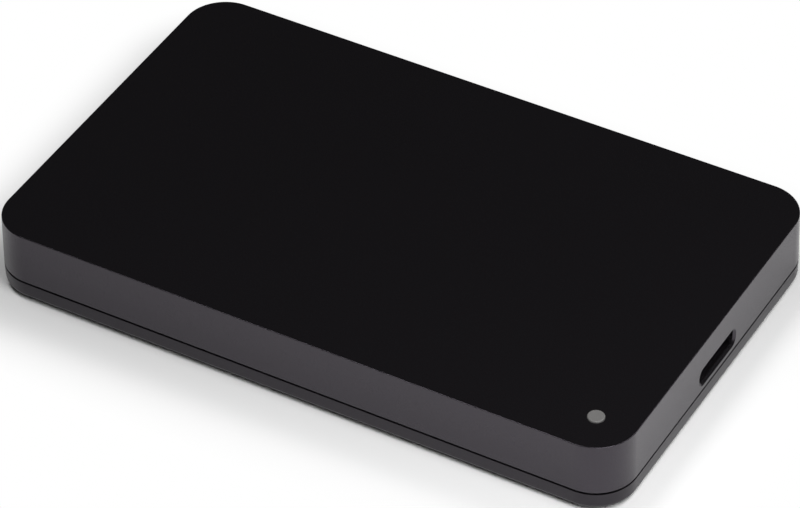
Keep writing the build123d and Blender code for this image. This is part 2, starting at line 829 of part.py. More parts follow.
def drive_base():
    """Die-cast base: wells above, a bay for the board below, and the connector's notch."""
    body = slab(drive_outline(0), z_drive, z_rim)
    body -= slab(well(), z_well, z_rim)
    motor_well = hub_radius + hub_flange + motor_margin
    body -= disc(motor_well, z_motor, z_well, spindle_x)
    body -= disc(sleeve_radius + slip, z_drive, z_motor, spindle_x)
    body -= slab(drive_board_plan(drive_board_side / 3), z_drive, z_casting)
    half = plug_width / 2 + plug_fit
    body -= block(plug_x0 - plug_fit, drive_x1, plug_offset - half, plug_offset + half,
                  z_drive, z_casting + plug_height + plug_fit)
    body += disc(ramp_foot_radius, z_well - drive_floor / 2, z_well + ramp_post_height, *ramp_foot_place())
    body -= disc(ramp_screw_radius + slip, z_well, z_well + ramp_post_height, *ramp_foot_place())
    seat = z_cover - dimple_depth
    for x, y in cover_screw_places():
        body -= disc(dimple_radius + fit, seat, z_rim, x, y)
        body -= disc(cover_screw_radius + slip, seat + cover_thickness - cover_screw_length, seat, x, y)
    for x, y in board_screw_places():
        body -= disc(cover_screw_radius + slip, z_casting, z_drive_board + board_screw_length, x, y)
    return body


def drive_cover():
    """Pressed lid with a shallow dish over the platters and a dimple at each screw."""
    body = slab(drive_outline(cover_inset), z_cover, z_drive_top)
    body += disc(cover_dish_radius, z_cover - cover_dish_depth, z_cover, spindle_x)
    dish_floor = z_drive_top - cover_dish_depth
    body -= disc(cover_dish_radius - cover_thickness, dish_floor, z_drive_top, spindle_x)
    bottom = z_cover - dimple_depth
    for x, y in cover_screw_places():
        body += disc(dimple_radius, bottom, z_cover, x, y)
        body -= disc(dimple_radius - cover_thickness, bottom + cover_thickness, z_drive_top, x, y)
        body -= disc(cover_screw_radius + slip, bottom, bottom + cover_thickness, x, y)
    return body


def cover_gasket():
    """Seal round the rim of the wells."""
    plan = offset(well(), gasket_inset + gasket_width) - offset(well(), gasket_inset)
    return slab(plan, z_rim, z_cover)


def cover_screws():
    seat = z_cover - dimple_depth + cover_thickness
    return Compound([screw(x, y, seat, cover_head_radius, cover_head_height, cover_screw_radius,
                           cover_screw_length) for x, y in cover_screw_places()])


def drive_board():
    plate = slab(drive_board_plan(0), z_drive_board, z_casting)
    for x, y in board_screw_places():
        plate -= disc(cover_screw_radius + slip, z_drive_board, z_casting, x, y)
    return plate


def drive_board_screws():
    """Screws put in from below, so each is turned over about its seat."""
    turned = Pos(0, 0, z_drive_board) * Rot(180, 0, 0)
    return Compound([turned * screw(x, -y, 0, board_head_radius, board_head_height, cover_screw_radius,
                                    board_screw_length) for x, y in board_screw_places()])


def drive_plug():
    """Connector housing on the drive's board: a back, two side towers and the blades."""
    half = plug_width / 2
    low, high = z_casting, z_casting + plug_height
    body = block(plug_x0, plug_front, plug_offset - half, plug_offset + half, low, high)
    for y in (plug_offset - half, plug_offset + half - plug_tower):
        body += block(plug_x0, drive_x1 - blade_setback, y, y + plug_tower, low, high)
    length = drive_x1 - blade_setback - plug_front
    return body + Pos(plug_front, 0, z_plug) * extrude(blades(0), length)


def drive_plug_contacts():
    """Contact strips on top of the blades."""
    half = contact_width / 2
    low = z_plug + blade_thickness / 2
    x1 = drive_x1 - 2 * blade_setback
    return Compound([block(plug_front, x1, y - half, y + half, low, low + contact_thickness)
                     for y in contact_rows()])


def drive_chip(step, length, width):
    """A chip under the drive's board, counted from the motor towards the connector."""
    x = spindle_x + drive_board_start + step * chip_pitch
    return chip(x, 0, length, width, z_drive_board - drive_chip_height, drive_chip_height)


def motor_chip():
    return drive_chip(1, motor_chip_size, motor_chip_size)


def controller_chip():
    return drive_chip(2, controller_size, controller_size)


def memory_chip():
    return drive_chip(3, memory_width, memory_length)


# Spindle


def bearing_sleeve():
    """Fixed bearing of the spindle: closed below, stepped to carry the stator."""
    bottom = z_drive + sleeve_base_gap
    body = disc(sleeve_radius, bottom, z_web - sleeve_head_gap, spindle_x)
    body += disc(sleeve_radius + sleeve_step, z_motor, z_stator, spindle_x)
    return body - disc(shaft_radius + run, bottom + sleeve_bottom, z_web, spindle_x)


def tooth_turns():
    return [Rot(0, 0, 360 / tooth_count * i) for i in range(tooth_count)]


def motor_stator():
    """Laminated core: a ring on the sleeve with one tooth for each winding."""
    inner = sleeve_radius + slip
    plan = Circle(inner + stator_ring) - Circle(inner)
    middle = inner + stator_ring / 2
    tooth = Pos((middle + stator_radius) / 2, 0) * Rectangle(stator_radius - middle, tooth_width)
    for turn in tooth_turns():
        plan += turn * tooth
    return slab(Pos(spindle_x, 0) * plan, z_stator, z_stator + stator_thickness)


def motor_coils():
    """One winding round each tooth."""
    middle = (sleeve_radius + stator_ring + stator_radius) / 2
    gap = tooth_width + 2 * slip
    height = stator_thickness + 2 * slip
    winding = Box(coil_length, gap + 2 * coil_build, height + 2 * coil_build)
    winding -= Box(2 * coil_length, gap, height)
    centre = Pos(spindle_x, 0, z_stator + stator_thickness / 2)
    return Compound([centre * turn * Pos(middle, 0, 0) * winding for turn in tooth_turns()])


def spindle_hub():
    """Turned hub with the platter flange, the magnet's skirt and the shaft."""
    body = disc(hub_radius + hub_flange, z_hub, z_low_platter, spindle_x)
    body += disc(hub_radius, z_low_platter, z_clamp - hub_step, spindle_x)
    body -= disc(magnet_outer + slip, z_hub, z_web, spindle_x)
    shaft_bottom = z_drive + sleeve_base_gap + sleeve_bottom + sleeve_shaft_gap
    body += disc(shaft_radius, shaft_bottom, z_web, spindle_x)
    top = z_clamp - hub_step
    return body - disc(clamp_screw_radius + slip, clamp_seat() - clamp_screw_length - fit, top, spindle_x)


def motor_magnet():
    bottom = z_hub + magnet_lift
    return ring(magnet_outer, magnet_inner, bottom, bottom + magnet_height, spindle_x)


def platter(bottom):
    return ring(platter_radius, platter_bore / 2, bottom, bottom + platter_thickness, spindle_x)


def platter_spacer():
    inner = platter_bore / 2
    return ring(inner + spacer_width, inner, z_low_platter + platter_thickness, z_high_platter, spindle_x)


def clamp_seat():
    """Height of the clamp's middle, where its screw bears."""
    return z_clamp + clamp_rise + clamp_sheet


def disc_clamp():
    """Dished spring disc that bears on the upper platter with its rim."""
    hole = clamp_screw_radius + fit
    inner_rim = clamp_radius - clamp_rim
    points = [
        (hole, z_clamp + clamp_rise),
        (inner_rim, z_clamp + clamp_rise),
        (inner_rim + clamp_rise, z_clamp),
        (clamp_radius, z_clamp),
        (clamp_radius, z_clamp + clamp_sheet),
        (inner_rim + clamp_rise, z_clamp + clamp_sheet),
        (inner_rim, clamp_seat()),
        (hole, clamp_seat()),
    ]
    return Pos(spindle_x, 0, 0) * revolve(Plane.XZ * Polygon(*points, align=None), Axis.Z)


def clamp_screw():
    return screw(spindle_x, 0, clamp_seat(), clamp_head_radius, clamp_head_height,
                 clamp_screw_radius, clamp_screw_length)


# Head actuator


def pivot_shaft():
    """Post on the casting's floor with a flange below the bearings."""
    post = disc(pivot_shaft_radius, z_well, z_rim - pivot_top_gap, pivot_x, pivot_y)
    top = z_well + pivot_flange_height
    return post + disc(pivot_shaft_radius + pivot_flange, z_well, top, pivot_x, pivot_y)


def pivot_bearings():
    """Two bearings on the post, inside the turning sleeve."""
    low = z_low_arm + bearing_inset
    high = z_arm_top - bearing_inset - bearing_height
    inner = pivot_shaft_radius + slip
    return Compound([ring(bearing_radius, inner, z, z + bearing_height, pivot_x, pivot_y)
                     for z in (low, high)])


def pivot_sleeve():
    inner = bearing_radius + run
    top = z_arm_top + pivot_sleeve_proud
    return ring(inner + pivot_sleeve_wall, inner, z_low_arm, top, pivot_x, pivot_y)


def arm_block():
    """Machined comb: a hub round the sleeve and three tapered arms with a window each."""
    half_root = arm_root_width / 2
    half_tip = arm_tip_width / 2
    root = [(0, half_root), (0, -half_root)]
    tip = [(arm_reach, -half_tip), (arm_reach, half_tip)]
    arm = Polygon(*root, *tip, align=None)
    arm += Pos(arm_reach, 0) * Circle(half_tip)
    x0 = block_radius + arm_window_wall
    x1 = arm_reach - beam_overlap - arm_window_wall

    def half_window(x):
        return half_root + (half_tip - half_root) * x / arm_reach - arm_window_wall

    y0, y1 = half_window(x0), half_window(x1)
    arm -= Polygon((x0, -y0), (x1, -y1), (x1, y1), (x0, y0), align=None)
    arm = at_pivot(arm, park_angle)
    body = disc(block_radius, z_low_arm, z_arm_top, pivot_x, pivot_y)
    levels = ((z_low_arm, z_low_arm + arm_thickness), (z_mid_arm, z_mid_arm_top), (z_high_arm, z_arm_top))
    for low, high in levels:
        body += slab(arm, low, high)
    bore = bearing_radius + run + pivot_sleeve_wall + slip
    return body - disc(bore, z_low_arm, z_arm_top, pivot_x, pivot_y)


def head_beams():
    """Four thin springs that carry the heads, each ending in a lift tab."""
    half_beam, half_neck, half_tab = beam_width / 2, beam_neck / 2, tab_width / 2
    root = arm_reach - beam_overlap
    neck = arm_length + slider_length
    side = [(root, half_beam), (arm_reach + beam_overlap, half_beam), (neck, half_neck), (neck, half_tab),
            (arm_length + tab_reach, half_tab)]
    plan = Polygon(*side, *[(x, -y) for x, y in reversed(side)], align=None)
    plan = at_pivot(plan, park_angle)
    return Compound([slab(plan, z, z + beam_thickness) for z in beam_levels])


def head_sliders():
    """One slider on each beam, on the side that faces its platter."""
    plan = at_pivot(Pos(arm_length, 0) * Rectangle(slider_length, slider_width), park_angle)
    above = beam_thickness
    below = -slider_height
    return Compound([slab(plan, z + lift, z + lift + slider_height)
                     for z, lift in zip(beam_levels, (above, below, above, below))])


def coil_plan(grow):
    """Outline of the coil on the far side of the pivot from the arms, grown by a margin."""
    half = coil_half_angle + degrees(grow / coil_outer)
    return fan(coil_inner - grow, coil_outer + grow, 180 - half, 180 + half)


def voice_coil():
    """Flat wound coil with an open middle."""
    hole_half = coil_half_angle - degrees(coil_wire / ((coil_inner + coil_outer) / 2))
    hole = fan(coil_inner + coil_wire, coil_outer - coil_wire, 180 - hole_half, 180 + hole_half)
    return slab(at_pivot(coil_plan(0) - hole, park_angle), z_coil, z_coil + coil_thickness)


def coil_frame():
    """Moulded frame that holds the coil to the arm block."""
    plan = fan(block_radius + slip, frame_outer, 180 - frame_half_angle, 180 + frame_half_angle)
    plan -= coil_plan(slip)
    return slab(at_pivot(plan, park_angle), z_coil, z_coil + coil_thickness)


def yoke_post_places():
    return [polar(post_reach, inner_angle + 180), polar(post_reach, park_angle + 180)]


def yoke_plan():
    """Steel plate of the magnet motor, with an ear at each post."""
    plan = at_pivot(fan(block_radius + yoke_gap, frame_outer, yoke_start, yoke_stop))
    for x, y in yoke_post_places():
        plan += Pos(x, y) * Circle(yoke_ear)
    for x, y in yoke_post_places():
        plan -= Pos(x, y) * Circle(yoke_screw_radius + slip)
    return plan


def magnet_plan():
    return at_pivot(fan(coil_inner, coil_outer, yoke_start, yoke_stop))


z_low_magnet = z_well + yoke_thickness
z_high_yoke = z_low_arm + z_arm_top - z_low_magnet


def lower_yoke():
    return slab(yoke_plan(), z_well, z_low_magnet)


def lower_magnet():
    return slab(magnet_plan(), z_low_magnet, z_low_magnet + magnet_plate)


def upper_magnet():
    return slab(magnet_plan(), z_high_yoke - magnet_plate, z_high_yoke)


def upper_yoke():
    return slab(yoke_plan(), z_high_yoke, z_high_yoke + yoke_thickness)


def yoke_posts():
    return Compound([ring(post_radius, yoke_screw_radius + slip, z_low_magnet, z_high_yoke, x, y)
                     for x, y in yoke_post_places()])


def yoke_screws():
    """Screws through the upper yoke and the posts into the lower yoke."""
    seat = z_high_yoke + yoke_thickness
    return Compound([screw(x, y, seat, yoke_head_radius, yoke_head_height, yoke_screw_radius, seat - z_well)
                     for x, y in yoke_post_places()])


def crash_stops():
    """Rubber posts just outside both ends of the coil frame's travel."""
    clear = frame_half_angle + degrees((stop_radius + stop_gap) / stop_reach)
    outer = polar(stop_reach, park_angle + 180 + clear)
    inner = polar(stop_reach, inner_angle + 180 - clear)
    return Compound([disc(stop_radius, z_well, z_well + stop_height, x, y) for x, y in (outer, inner)])


def ramp_foot_place():
    return polar(ramp_foot_reach, ramp_stop + ramp_foot_angle)


def load_ramp():
    """Comb beside the platters with a slot for each lift tab, and a foot on the casting's post."""
    sector = at_pivot(fan(ramp_inner, ramp_outer, ramp_start, ramp_stop))
    top = beam_levels[-1] + beam_thickness + ramp_slot_gap + ramp_cap
    body = slab(sector, z_well, top)
    slot = at_pivot(fan(ramp_inner - ramp_slot, ramp_inner + ramp_slot, ramp_start - 1, ramp_stop + 1))
    for z in beam_levels:
        body -= slab(slot, z - ramp_slot_gap, z + beam_thickness + ramp_slot_gap)
    low = z_well + ramp_post_height
    link = fan(ramp_inner + ramp_slot, ramp_outer, ramp_stop - 1, ramp_stop + ramp_foot_angle)
    body += slab(at_pivot(link), low, low + ramp_foot_thickness)
    x, y = ramp_foot_place()
    body += disc(ramp_foot_radius, low, low + ramp_foot_thickness, x, y)
    return body - disc(ramp_screw_radius + slip, low, low + ramp_foot_thickness, x, y)


def ramp_screw():
    seat = z_well + ramp_post_height + ramp_foot_thickness
    length = ramp_post_height + ramp_foot_thickness
    return screw(*ramp_foot_place(), seat, ramp_head_radius, ramp_head_height, ramp_screw_radius, length)


def flex_bracket():
    """Cable holder on the casting's floor: a foot and an upright wall."""
    x0 = pivot_x + bracket_dx - bracket_length / 2
    y0 = pivot_y + bracket_dy - bracket_width / 2
    foot = block(x0, x0 + bracket_length, y0, y0 + bracket_width, z_well, z_well + bracket_foot)
    top = (z_low_arm + z_arm_top + flex_height) / 2
    return foot + block(x0, x0 + bracket_wall, y0, y0 + bracket_width, z_well, top)


def flex_cable():
    """Flat cable on edge, in one loose arc from the arm block to the bracket."""
    gap = flex_thickness / 2 + slip
    start = Vector(*polar(block_radius + fit, flex_angle))
    end = Vector(pivot_x + bracket_dx - bracket_length / 2 - gap, pivot_y + bracket_dy)
    chord = end - start
    across = Vector(chord.Y, -chord.X).normalized()
    strip = trace(ThreePointArc(start, (start + end) / 2 + across * flex_sag, end), flex_thickness)
    bottom = (z_low_arm + z_arm_top - flex_height) / 2
    return slab(strip, bottom, bottom + flex_height)


def air_filter():
    """Filter block standing beside the platters."""
    plan = Rot(0, 0, filter_angle) * Pos(filter_reach, 0) * Rectangle(filter_thickness, filter_length)
    return slab(Pos(spindle_x, 0) * plan, z_well, z_well + filter_height)


nodes = {
    "top_cover": top_cover(),
    "bottom_cover": bottom_cover(),
    "light_guide": light_guide(),
    "rubber_feet": rubber_feet(),
    "corner_buffers": corner_buffers(),
    "bridge_board": bridge_board(),
    "port_shell": port_shell(),
    "port_tongue": port_tongue(),
    "port_contacts": port_contacts(),
    "board_socket": board_socket(),
    "board_socket_contacts": board_socket_contacts(),
    "bridge_chip": bridge_chip(),
    "firmware_chip": firmware_chip(),
    "board_crystal": board_crystal(),
    "board_inductor": board_inductor(),
    "board_capacitors": board_capacitors(),
    "board_resistors": board_resistors(),
    "activity_lamp": activity_lamp(),
    "drive_base": drive_base(),
    "drive_cover": drive_cover(),
    "cover_gasket": cover_gasket(),
    "cover_screws": cover_screws(),
    "drive_board": drive_board(),
    "drive_board_screws": drive_board_screws(),
    "drive_plug": drive_plug(),
    "drive_plug_contacts": drive_plug_contacts(),
    "motor_chip": motor_chip(),
    "controller_chip": controller_chip(),
    "memory_chip": memory_chip(),
    "bearing_sleeve": bearing_sleeve(),
    "motor_stator": motor_stator(),
    "motor_coils": motor_coils(),
    "spindle_hub": spindle_hub(),
    "motor_magnet": motor_magnet(),
    "lower_platter": platter(z_low_platter),
    "upper_platter": platter(z_high_platter),
    "platter_spacer": platter_spacer(),
    "disc_clamp": disc_clamp(),
    "clamp_screw": clamp_screw(),
    "pivot_shaft": pivot_shaft(),
    "pivot_bearings": pivot_bearings(),
    "pivot_sleeve": pivot_sleeve(),
    "arm_block": arm_block(),
    "head_beams": head_beams(),
    "head_sliders": head_sliders(),
    "voice_coil": voice_coil(),
    "coil_frame": coil_frame(),
    "lower_yoke": lower_yoke(),
    "lower_magnet": lower_magnet(),
    "upper_magnet": upper_magnet(),
    "upper_yoke": upper_yoke(),
    "yoke_posts": yoke_posts(),
    "yoke_screws": yoke_screws(),
    "crash_stops": crash_stops(),
    "load_ramp": load_ramp(),
    "ramp_screw": ramp_screw(),
    "flex_bracket": flex_bracket(),
    "flex_cable": flex_cable(),
    "air_filter": air_filter(),
}

os.makedirs("parts", exist_ok=True)
for name, shape in nodes.items():
    export_step(shape, os.path.join("parts", name + ".step"))
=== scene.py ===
"""Studio picture of a portable hard drive: satin black shells, a milky lamp and a wide data port.

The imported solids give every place. The shells, lamp, feet and flexible cable are modelled again here with
their fine edges, and the solids inside keep their shape and get their own finishes.
"""

import json
import math

import bmesh
import bpy
from mathutils import Matrix, Vector


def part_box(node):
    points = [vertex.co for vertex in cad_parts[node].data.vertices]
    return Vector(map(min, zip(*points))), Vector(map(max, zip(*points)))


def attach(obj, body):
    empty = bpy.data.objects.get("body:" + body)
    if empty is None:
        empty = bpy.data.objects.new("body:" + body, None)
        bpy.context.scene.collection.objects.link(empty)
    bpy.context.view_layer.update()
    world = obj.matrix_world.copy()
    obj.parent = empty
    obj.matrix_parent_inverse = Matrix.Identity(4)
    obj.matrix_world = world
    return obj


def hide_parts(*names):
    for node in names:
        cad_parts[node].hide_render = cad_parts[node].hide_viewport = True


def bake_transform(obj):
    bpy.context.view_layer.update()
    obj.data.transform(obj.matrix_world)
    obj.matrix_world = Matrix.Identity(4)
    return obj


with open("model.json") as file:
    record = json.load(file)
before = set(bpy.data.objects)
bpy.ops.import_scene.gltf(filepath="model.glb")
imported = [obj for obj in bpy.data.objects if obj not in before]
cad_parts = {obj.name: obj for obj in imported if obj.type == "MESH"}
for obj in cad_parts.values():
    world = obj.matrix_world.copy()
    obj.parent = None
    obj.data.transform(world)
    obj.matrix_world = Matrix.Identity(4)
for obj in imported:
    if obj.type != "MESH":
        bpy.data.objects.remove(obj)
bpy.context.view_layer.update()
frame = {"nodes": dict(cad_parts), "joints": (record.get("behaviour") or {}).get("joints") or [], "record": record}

MM = 0.001
SAME_PLACE = 0.001 * MM  # points closer than this count as one
SMOOTH_ANGLE = math.radians(35.0)
ROD_STEPS = 64

# Shells
CORNER = 8.1 * MM
CORNER_STEPS = 20
DRAFT = math.radians(0.94)
WALL = 1.9 * MM
LID_WALL = 1.8 * MM
FLOOR_WALL = 1.6 * MM
REVEAL = 0.4 * MM
LID_EDGE = 0.12 * MM
FLOOR_EDGE = 1.1 * MM
RIM_EDGE = 0.1 * MM
LIP_THICKNESS = 0.9 * MM
LIP_HEIGHT = 1.5 * MM
FIT = 0.1 * MM

# Port opening and the socket behind it
PORT_WIDTH = 13.7 * MM
PORT_HEIGHT = 3.2 * MM
PORT_CORNER = 1.2 * MM
PORT_LEAD = 0.45 * MM
PORT_RISE = 1.25 * MM
LIP_NOTCH = 15.7 * MM
SOCKET_FOLD = 0.08 * MM
TONGUE_EDGE = 0.1 * MM

# Snap hooks, ledges, ribs and posts inside the shells
HOOK_PITCH = 26.0 * MM
HOOK_WIDTH = 6.0 * MM
HOOK_THICKNESS = 1.0 * MM
HOOK_BARB = 0.6 * MM
HOOK_TIP = 1.2 * MM
LEDGE_DEPTH = 0.8 * MM
LEDGE_HEIGHT = 0.8 * MM
LEDGE_RISE = 0.4 * MM
RIB_PITCH = 10.0 * MM
RIB_WIDTH = 1.0 * MM
RIB_DEPTH = 0.6 * MM
RIB_MARGIN = 15.0 * MM
POST_RADIUS = 2.2 * MM
PIN_RADIUS = 0.9 * MM
PIN_HEIGHT = 1.2 * MM
REAR_POST = Vector((44.1, 31.2)) * MM
COLLAR_WALL = 1.0 * MM
COLLAR_HEIGHT = 2.0 * MM
SOFT_EDGE = 0.15 * MM

# Lamp and feet
LAMP_RADIUS = 1.6 * MM
LAMP_EDGE = 0.25 * MM
LAMP_GAP = 0.05 * MM
GUIDE_FLANGE = 0.8 * MM
STEM_RADIUS = 1.3 * MM
FOOT_RADIUS = 4.0 * MM
FOOT_EDGE = 0.2 * MM
FOOT_RIM = 0.8 * MM
FOOT_DISH = 0.1 * MM
DISH_TAPER = 0.96
FOOT_RECESS = 0.4 * MM

# Flexible cable, from its bracket to the head arm
FLEX_BRACKET_END = Vector((19.695, -4.5, 0)) * MM
FLEX_ARM_END = Vector((15.41, 5.84, 0)) * MM
FLEX_SAG = 2.2 * MM
FLEX_THICKNESS = 0.15 * MM
FLEX_STEPS = 32

# Studio, with the bands round the object in which the floor turns from shaded to plain white
STAGE_RADIUS = 3.0
STAGE_STEPS = 96
STAGE_RIM = ((0.05, 1.05), (0.30, 1.04))  # rise in metres and spread of each step
STAGE_WHITE = 0.95
SEEN_BAND = (0.0, 20.0 * MM)
MIRRORED_BAND = (20.0 * MM, 110.0 * MM)
ROOM_LIGHT = 0.045

# Camera, from a fit to the photograph's outline
PHOTO_WIDTH = 800
FOCAL_PIXELS = 4460.56
SENSOR = 36.0
CAMERA_AZIMUTH = math.radians(30.2647)
CAMERA_ELEVATION = math.radians(40.8163)
CAMERA_ROLL = math.radians(-1.0123)
CAMERA_DISTANCE = 823.75 * MM
CAMERA_RISE = 3.232 * MM
CAMERA_SIDE = -0.229 * MM

# Places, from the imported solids
lid_low, lid_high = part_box("top_cover")
floor_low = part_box("bottom_cover")[0]
guide_low, guide_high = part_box("light_guide")
feet_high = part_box("rubber_feet")[1]
drive_low, drive_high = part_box("drive_base")
board_low, board_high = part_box("bridge_board")
flex_low, flex_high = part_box("flex_cable")
LENGTH = lid_high.x - lid_low.x
WIDTH = lid_high.y - lid_low.y
LID_RIM = lid_low.z
FLOOR_RIM = LID_RIM - REVEAL
CEILING = lid_high.z - LID_WALL
FLOOR = floor_low.z + FLOOR_WALL
LIP_TOP = LID_RIM + LIP_HEIGHT
INNER_SIDE = WIDTH / 2 - WALL
INNER_END = LENGTH / 2 - WALL
LAMP = Vector(((guide_low.x + guide_high.x) / 2, (guide_low.y + guide_high.y) / 2))
FLANGE_RADIUS = (guide_high.x - guide_low.x) / 2
PORT_Z = board_high.z + PORT_RISE
LEDGE_LOW = LIP_TOP + LEDGE_RISE
CATCH = LEDGE_LOW + LEDGE_HEIGHT + FIT
POSTS = [REAR_POST, Vector((REAR_POST.x, -REAR_POST.y)), Vector((LAMP.x, -LAMP.y))]


# Modelling by hand


def object_mode():
    """Leaves edit mode with nothing selected."""
    if bpy.context.mode != "OBJECT":
        bpy.ops.object.mode_set(mode="OBJECT")
    bpy.ops.object.select_all(action="DESELECT")


def edit(piece):
    """Starts edit mode on one piece, with none of it selected."""
    object_mode()
    piece.select_set(True)
    bpy.context.view_layer.objects.active = piece
    bpy.ops.object.mode_set(mode="EDIT")
    bpy.ops.mesh.select_all(action="DESELECT")


def pick(kind, test):
    """In edit mode, selects the faces or edges that pass a test."""
    bpy.ops.mesh.select_mode(type=kind)
    bpy.ops.mesh.select_all(action="DESELECT")
    mesh = bpy.context.edit_object.data
    shape = bmesh.from_edit_mesh(mesh)
    for item in shape.faces if kind == "FACE" else shape.edges:
        item.select_set(test(item))
    bmesh.update_edit_mesh(mesh)


def level(z):
    """Test for faces and edges that lie at one height."""
    return lambda item: all(abs(v.co.z - z) < SAME_PLACE for v in item.verts)


def push(x=0.0, y=0.0, z=0.0):
    """Extrudes the selected faces by a move."""
    bpy.ops.mesh.extrude_region_move(TRANSFORM_OT_translate={"value": (x, y, z)})


def move(x=0.0, y=0.0, z=0.0):
    """Moves the selection."""
    bpy.ops.transform.translate(value=(x, y, z))


def stretch(x=1.0, y=1.0, z=1.0, centre=(0, 0, 0)):
    """Scales the selection about a point."""
    bpy.ops.transform.resize(value=(x, y, z), center_override=centre)


def round_edges(width, steps):
    """Rounds the selected edges."""
    bpy.ops.mesh.bevel(offset=width, segments=steps, profile=0.5, affect="EDGES")


def rounded_plate(name, length, width, corner, z):
    """A flat plan with round corners, left in edit mode with its face selected."""
    object_mode()
    bpy.ops.mesh.primitive_plane_add(size=1, location=(0, 0, z))
    plate = bpy.context.object
    plate.name = name
    plate.scale = (length, width, 1)
    bpy.ops.object.transform_apply(location=True, rotation=True, scale=True)
    bpy.ops.object.mode_set(mode="EDIT")
    bpy.ops.mesh.select_all(action="SELECT")
    bpy.ops.mesh.bevel(offset=corner, segments=CORNER_STEPS, profile=0.5, affect="VERTICES")
    bpy.ops.mesh.select_mode(type="FACE")
    bpy.ops.mesh.select_all(action="SELECT")
    return plate


def block(name, x, y, z):
    """A block between pairs of limits, left in edit mode."""
    object_mode()
    bpy.ops.mesh.primitive_cube_add(size=1, location=(sum(x) / 2, sum(y) / 2, sum(z) / 2))
    piece = bpy.context.object
    piece.name = name
    piece.scale = (x[1] - x[0], y[1] - y[0], z[1] - z[0])
    bpy.ops.object.transform_apply(location=True, rotation=True, scale=True)
    edit(piece)
    return piece


def rod(name, radius, place, low, high):
    """An upright round bar, left in edit mode."""
    object_mode()
    bpy.ops.mesh.primitive_cylinder_add(
        vertices=ROD_STEPS, radius=radius, depth=high - low, location=(place[0], place[1], (low + high) / 2)
    )
    piece = bpy.context.object
    piece.name = name
    bpy.ops.object.transform_apply(location=True, rotation=True, scale=True)
    edit(piece)
    return piece


def combine(piece, other, operation):
    """Adds the other shape to the piece or takes it out, and throws the other away."""
    object_mode()
    bpy.context.view_layer.objects.active = piece
    piece.select_set(True)
    bpy.ops.object.modifier_add(type="BOOLEAN")
    piece.modifiers[-1].object = other
    piece.modifiers[-1].operation = operation
    piece.modifiers[-1].solver = "EXACT"
    bpy.ops.object.modifier_apply(modifier=piece.modifiers[-1].name)
    bpy.data.objects.remove(other)


def cut(piece, cutter):
    """Takes the cutter's shape out of the piece."""
    combine(piece, cutter, "DIFFERENCE")


def grow(piece, extra):
    """Adds an extra shape to the piece."""
    combine(piece, extra, "UNION")


def smooth(piece):
    """Smooth shading that keeps the flat faces flat and the edges crisp."""
    object_mode()
    bpy.context.view_layer.objects.active = piece
    piece.select_set(True)
    bpy.ops.object.shade_smooth_by_angle(angle=SMOOTH_ANGLE)
    bpy.ops.object.modifier_add(type="WEIGHTED_NORMAL")
    piece.modifiers[-1].keep_sharp = True
    bpy.ops.object.modifier_apply(modifier=piece.modifiers[-1].name)


def outward():
    """In edit mode, turns all faces to point outwards."""
    bpy.ops.mesh.select_all(action="SELECT")
    bpy.ops.mesh.normals_make_consistent(inside=False)


def drawn_in(height):
    """How the plan shrinks over a height because of the draft, along and across."""
    side = 2 * height * math.tan(DRAFT)
    return (LENGTH - side) / LENGTH, (WIDTH - side) / WIDTH


def copies(pattern, moves):
    """Copies of one pattern, each with its own mesh, joined into one piece."""
    object_mode()
    made = []
    for change in moves:
        copy = pattern.copy()
        copy.data = pattern.data.copy()
        copy.data.transform(change)
        bpy.context.scene.collection.objects.link(copy)
        copy.select_set(True)
        made.append(copy)
    name = pattern.name
    bpy.data.objects.remove(pattern)
    made[0].name = name
    bpy.context.view_layer.objects.active = made[0]
    bpy.ops.object.join()
    return made[0]


def to_posts():
    """Moves from the middle to each board post."""
    return [Matrix.Translation((*post, 0)) for post in POSTS]


def to_ribs():
    """Moves from the middle to each rib, across the lid."""
    return [Matrix.Translation((0, step * RIB_PITCH, 0)) for step in (-2, -1, 0, 1, 2)]


def to_hooks():
    """Moves from the middle of the +Y side to each hook, on both long sides."""
    middle = (drive_low.x + drive_high.x) / 2
    along = [Matrix.Translation((middle + step * HOOK_PITCH, 0, 0)) for step in (-1, 0, 1)]
    return along + [change @ Matrix.Rotation(math.pi, 4, "Z") for change in along]


# Inside the shells


def snap_hook():
    """A springy tab with a sloped barb at its tip."""
    face = INNER_SIDE - LEDGE_DEPTH - FIT
    low = FLOOR - FLOOR_WALL / 2
    hook = block("hook", (-HOOK_WIDTH / 2, HOOK_WIDTH / 2), (face - HOOK_THICKNESS, face), (low, CATCH))
    pick("FACE", level(CATCH))
    push(z=HOOK_TIP)
    pick("FACE", lambda item: item.normal.y > 0.9 and item.calc_center_median().z > CATCH)
    push(y=HOOK_BARB)
    pick("EDGE", lambda item: all(v.co.y > face and v.co.z > CATCH + HOOK_TIP / 2 for v in item.verts))
    move(y=-HOOK_BARB)
    bpy.ops.mesh.select_all(action="SELECT")
    bpy.ops.mesh.remove_doubles(threshold=SAME_PLACE)
    outward()
    object_mode()
    return hook


def snap_ledge():
    """The catch inside the lid that a hook snaps over, with a lead-in below."""
    half = HOOK_WIDTH / 2 + 2 * FIT
    near, far = INNER_SIDE - LEDGE_DEPTH, INNER_SIDE + WALL / 2
    ledge = block("ledge", (-half, half), (near, far), (LEDGE_LOW, LEDGE_LOW + LEDGE_HEIGHT))
    pick("EDGE", lambda item: all(v.co.y < near + FIT and v.co.z < LEDGE_LOW + FIT for v in item.verts))
    round_edges(SOFT_EDGE, 2)
    object_mode()
    return ledge


def lid_rib():
    """A long stiffening rib with soft lower edges."""
    ends = (drive_low.x + RIB_MARGIN, drive_high.x - RIB_MARGIN)
    rib = block("rib", ends, (-RIB_WIDTH / 2, RIB_WIDTH / 2), (CEILING - RIB_DEPTH, CEILING + FIT))
    pick("EDGE", level(CEILING - RIB_DEPTH))
    round_edges(SOFT_EDGE, 2)
    object_mode()
    return rib


